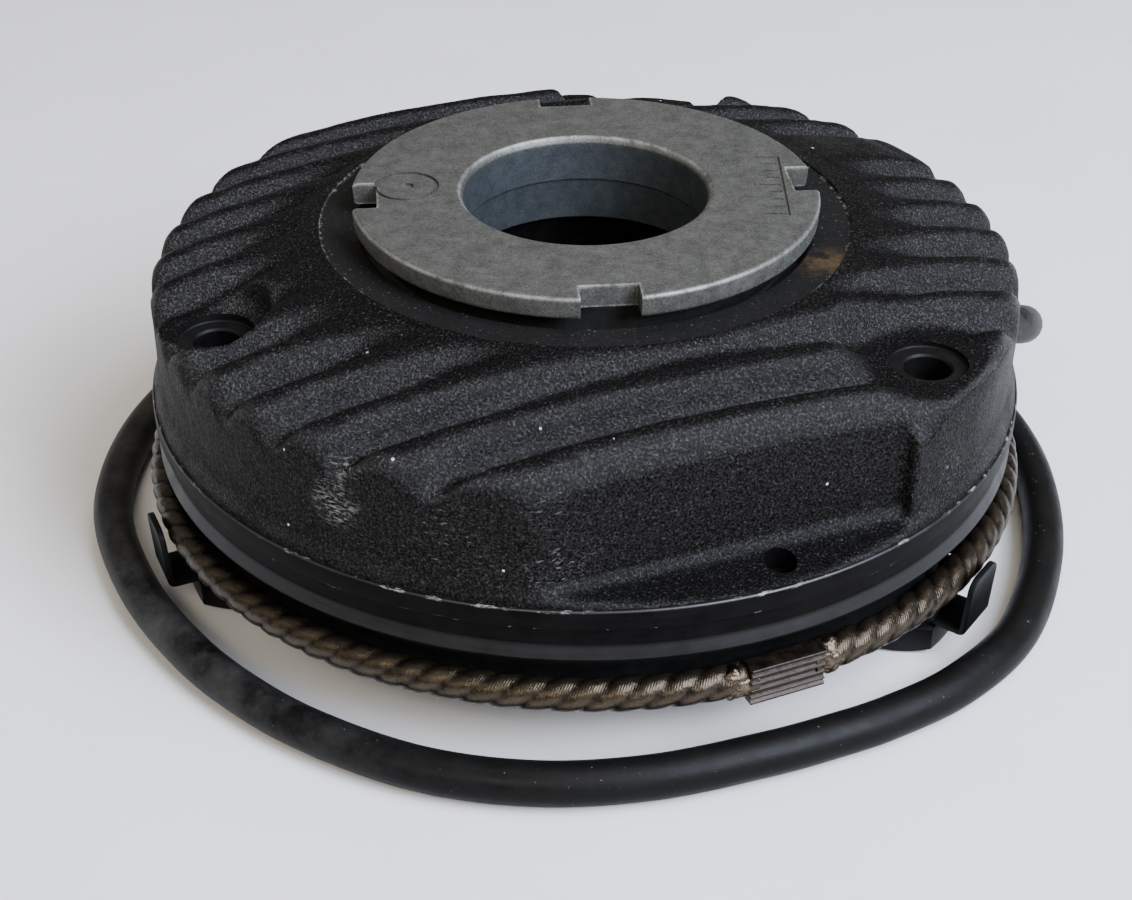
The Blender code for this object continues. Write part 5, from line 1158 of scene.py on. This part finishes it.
def tooth_ring(root, tip, widening, low, high):
    """A toothed bar: straight flanks between a root and a tip circle."""
    corners = []
    pitch = 360.0 / 20.0
    extra = math.degrees(widening / root)
    for i in range(20):
        for radius, offset in ((root, -pitch * 0.31 - extra), (tip, -pitch * 0.19 - extra),
                               (tip, pitch * 0.19 + extra), (root, pitch * 0.31 + extra)):
            angle = math.radians(i * pitch + offset)
            corners.append((radius * math.cos(angle), radius * math.sin(angle), 0.00015))
    turn = Matrix.Translation((0.0, 0.0, (low + high) / 2.0)) @ Matrix.Rotation(math.pi / 2.0, 4, "X")
    return prism(corners, high - low, turn)


def make_rotor():
    finishes = steel_finishes()
    thick = 0.0023
    boss = ROTOR_RADIUS - 0.0155
    web_low = ROTOR_LOW + thick + TOUCH_GAP
    web_high = ROTOR_HIGH - thick - TOUCH_GAP
    rotor = add_piece("rotor_plate", turned([
        (boss - TOUCH_GAP, ROTOR_HIGH, 0.0003), (boss - TOUCH_GAP, web_high), (ROTOR_RADIUS, web_high, 0.0003),
        (ROTOR_RADIUS, web_low, 0.0003), (boss - TOUCH_GAP, web_low), (boss - TOUCH_GAP, ROTOR_LOW, 0.0003),
        (0.0108, ROTOR_LOW), (0.0108, ROTOR_HIGH)]), finishes["aluminium"])
    cutter = tooth_ring(0.0151, 0.0169, TOUCH_GAP, ROTOR_LOW - CLEAR, ROTOR_HIGH + CLEAR)
    combine(rotor, [add_piece("splines", cutter, finishes["aluminium"])])
    dress(rotor, "rotor", "rotor", "rotor_disc")
    for name, low, node in (("pressed_lining_lower", ROTOR_LOW, "friction_lining_lower"),
                            ("pressed_lining_upper", ROTOR_HIGH - thick, "friction_lining_upper")):
        lining = add_piece(name, turned([
            (ROTOR_RADIUS, low + thick, 0.0003), (ROTOR_RADIUS, low, 0.0003), (boss, low, 0.0003),
            (boss, low + thick, 0.0003)]), finishes["lining"])
        dress(lining, "rotor", "lining", node)
    hub = add_piece("splined_hub", tooth_ring(0.0148, 0.0166, 0.0, HUB_LOW, HUB_HIGH), finishes["bright_steel"])
    combine(hub, [
        add_piece("hub_bore", rod(0.0100, HUB_LOW - CLEAR, HUB_HIGH + CLEAR, steps=96), finishes["bright_steel"]),
        add_piece("keyway", block((0.0128, 0.0060, 0.0260), (0.0064, 0.0, (HUB_LOW + HUB_HIGH) / 2.0)),
                  finishes["bright_steel"]),
    ])
    soften_edges(hub, 0.00015, 2)
    return dress(hub, "hub", "bright_steel", "toothed_hub")


def finish_inner_nodes():
    """Gives the CAD's springs and coil pieces their materials; their shapes are right as they are."""
    finishes = steel_finishes()
    inner = {"coil_bobbin": "bobbin", "coil_winding": "winding", "potting_ring": "potting"}
    for name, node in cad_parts.items():
        finish = "spring_wire" if name.startswith("pressure_spring") else inner.get(name)
        if finish:
            for material_slot in node.material_slots:
                material_slot.material = finishes[finish]


FINISHES = {}


def steel_finishes():
    """The plainer finishes, made once."""
    if not FINISHES:
        FINISHES.update(steel_materials(bpy.context.scene.brake_steel))
    return FINISHES


# Stage

CAMERA_PLACE = (0.0, -0.24541, 0.16896)
CAMERA_LOOK = (-0.0095034, 0.836723, -0.547544)
FOCAL_PIXELS = 1850.0
IMAGE_WIDTH = 1132.0


def area_light(name, azimuth, elevation, distance, size, watts, hex_colour):
    """A soft box that looks at the middle of the brake."""
    light = bpy.data.lights.new(name, "AREA")
    light.shape = "RECTANGLE"
    light.size, light.size_y = size
    light.energy = watts
    light.color = linear(hex_colour)
    middle = Vector((0.0, 0.0, 0.025))
    angle, rise = math.radians(azimuth), math.radians(elevation)
    offset = Vector((math.cos(rise) * math.cos(angle), math.cos(rise) * math.sin(angle), math.sin(rise))) * distance
    item = bpy.data.objects.new(name, light)
    item.location = middle + offset
    item.rotation_euler = (-offset).to_track_quat("-Z", "Y").to_euler()
    bpy.context.scene.collection.objects.link(item)


def make_stage():
    scene = bpy.context.scene
    camera = bpy.data.cameras.new("camera")
    camera.sensor_width = 36.0
    camera.lens = FOCAL_PIXELS / IMAGE_WIDTH * camera.sensor_width
    camera.clip_start = 0.01
    camera_item = bpy.data.objects.new("camera", camera)
    camera_item.location = CAMERA_PLACE
    camera_item.rotation_euler = Vector(CAMERA_LOOK).to_track_quat("-Z", "Y").to_euler()
    scene.collection.objects.link(camera_item)
    scene.camera = camera_item
    world = bpy.data.worlds.new("pale_studio")
    world.use_nodes = True
    world.node_tree.nodes["Background"].inputs["Color"].default_value = rgba(linear("f3f1ee"))
    world.node_tree.nodes["Background"].inputs["Strength"].default_value = 0.28
    scene.world = world
    area_light("window", -28.0, 54.0, 0.90, (0.44, 0.40), 10.0, "e2eaff")
    area_light("low_window", -42.0, 35.0, 0.90, (0.44, 0.34), 13.0, "e2eaff")
    area_light("ceiling", 60.0, 78.0, 1.30, (0.9, 0.9), 4.0, "fff2df")
    area_light("front", -105.0, 40.0, 1.10, (0.5, 0.3), 4.0, "fff2df")
    area_light("left", -170.0, 35.0, 1.10, (0.6, 0.6), 1.3, "fff2df")
    shape = bmesh.new()
    bmesh.ops.create_grid(shape, x_segments=8, y_segments=8, size=4.0)
    bmesh.ops.translate(shape, vec=(0.0, 0.0, -0.00005), verts=shape.verts)
    # Matt white paper: pale and even, a little grain
    paper = mottled("matt_white_paper", linear("f4f4f3"), linear("eeeeed"), 0.0, 0.9, 40.0, 0.8, 0.01, 0.03)
    floor = add_piece("floor", shape, paper)


# The add-on's operators, panel and registration

class BRAKE_OT_stage(bpy.types.Operator):
    """Camera at the photograph's angle, soft studio light and a pale floor"""
    bl_idname = "brake.make_stage"
    bl_label = "Stage"

    def execute(self, context):
        make_stage()
        return {"FINISHED"}


class BRAKE_OT_cable(bpy.types.Operator):
    """Sheathed cable on its route, its two cores with crimped ends, and the rubber grommet"""
    bl_idname = "brake.make_cable"
    bl_label = "Cable"

    def execute(self, context):
        make_cable(context.scene.brake_cable)
        return {"FINISHED"}


class BRAKE_OT_housing(bpy.types.Operator):
    """Ribbed sand casting with its turned band, chamber and holes"""
    bl_idname = "brake.make_housing"
    bl_label = "Magnet housing"

    def execute(self, context):
        make_housing(context.scene.brake_housing)
        return {"FINISHED"}


class BRAKE_OT_nut(bpy.types.Operator):
    """Zinc adjusting nut with four notches and plain engraved marks"""
    bl_idname = "brake.make_nut"
    bl_label = "Adjusting nut"

    def execute(self, context):
        make_nut(context.scene.brake_nut)
        return {"FINISHED"}


class BRAKE_OT_rope(bpy.types.Operator):
    """Three-strand rope ring, its crimped ferrule and its fused ends"""
    bl_idname = "brake.make_rope"
    bl_label = "Rope ring"

    def execute(self, context):
        make_rope(context.scene.brake_rope)
        return {"FINISHED"}


class BRAKE_OT_plate(bpy.types.Operator):
    """Slotted armature plate"""
    bl_idname = "brake.make_plate"
    bl_label = "Armature plate"

    def execute(self, context):
        make_plate()
        return {"FINISHED"}


class BRAKE_OT_bolts(bpy.types.Operator):
    """Three sleeve bolts with their lock nuts"""
    bl_idname = "brake.make_bolts"
    bl_label = "Sleeve bolts"

    def execute(self, context):
        make_bolts(context.scene.brake_steel)
        return {"FINISHED"}


class BRAKE_OT_clips(bpy.types.Operator):
    """Three retaining clips with standing tabs"""
    bl_idname = "brake.make_clips"
    bl_label = "Retaining clips"

    def execute(self, context):
        make_clips(context.scene.brake_steel)
        return {"FINISHED"}


class BRAKE_OT_rotor(bpy.types.Operator):
    """Rotor with its linings, the toothed hub, and the finishes of the springs and coil"""
    bl_idname = "brake.make_rotor"
    bl_label = "Rotor and hub"

    def execute(self, context):
        make_rotor()
        finish_inner_nodes()
        return {"FINISHED"}


OPERATORS = (BRAKE_OT_stage, BRAKE_OT_cable, BRAKE_OT_housing, BRAKE_OT_nut, BRAKE_OT_rope, BRAKE_OT_plate,
             BRAKE_OT_bolts, BRAKE_OT_clips, BRAKE_OT_rotor)
SETTINGS = {"brake_housing": HousingSettings, "brake_nut": NutSettings, "brake_rope": RopeSettings,
            "brake_cable": CableSettings, "brake_steel": SteelSettings}


class BRAKE_PT_panel(bpy.types.Panel):
    """Lists the pieces and their sizes and colours"""
    bl_idname = "BRAKE_PT_panel"
    bl_label = "Disc brake"
    bl_space_type = "VIEW_3D"
    bl_region_type = "UI"
    bl_category = "Disc brake"

    def draw(self, context):
        for operator in OPERATORS:
            self.layout.operator(operator.bl_idname)
        for name, group in SETTINGS.items():
            box = self.layout.box()
            for key in group.__annotations__:
                box.prop(getattr(context.scene, name), key)


def register():
    for group in SETTINGS.values():
        bpy.utils.register_class(group)
    for operator in OPERATORS:
        bpy.utils.register_class(operator)
    bpy.utils.register_class(BRAKE_PT_panel)
    for name, group in SETTINGS.items():
        setattr(bpy.types.Scene, name, PointerProperty(type=group))


def unregister():
    for name in SETTINGS:
        delattr(bpy.types.Scene, name)
    for item in (BRAKE_PT_panel, *OPERATORS, *SETTINGS.values()):
        bpy.utils.unregister_class(item)


def main():
    register()
    for operator in OPERATORS:
        getattr(bpy.ops.brake, operator.bl_idname.split(".")[1])()


if __name__ == "__main__":
    main()
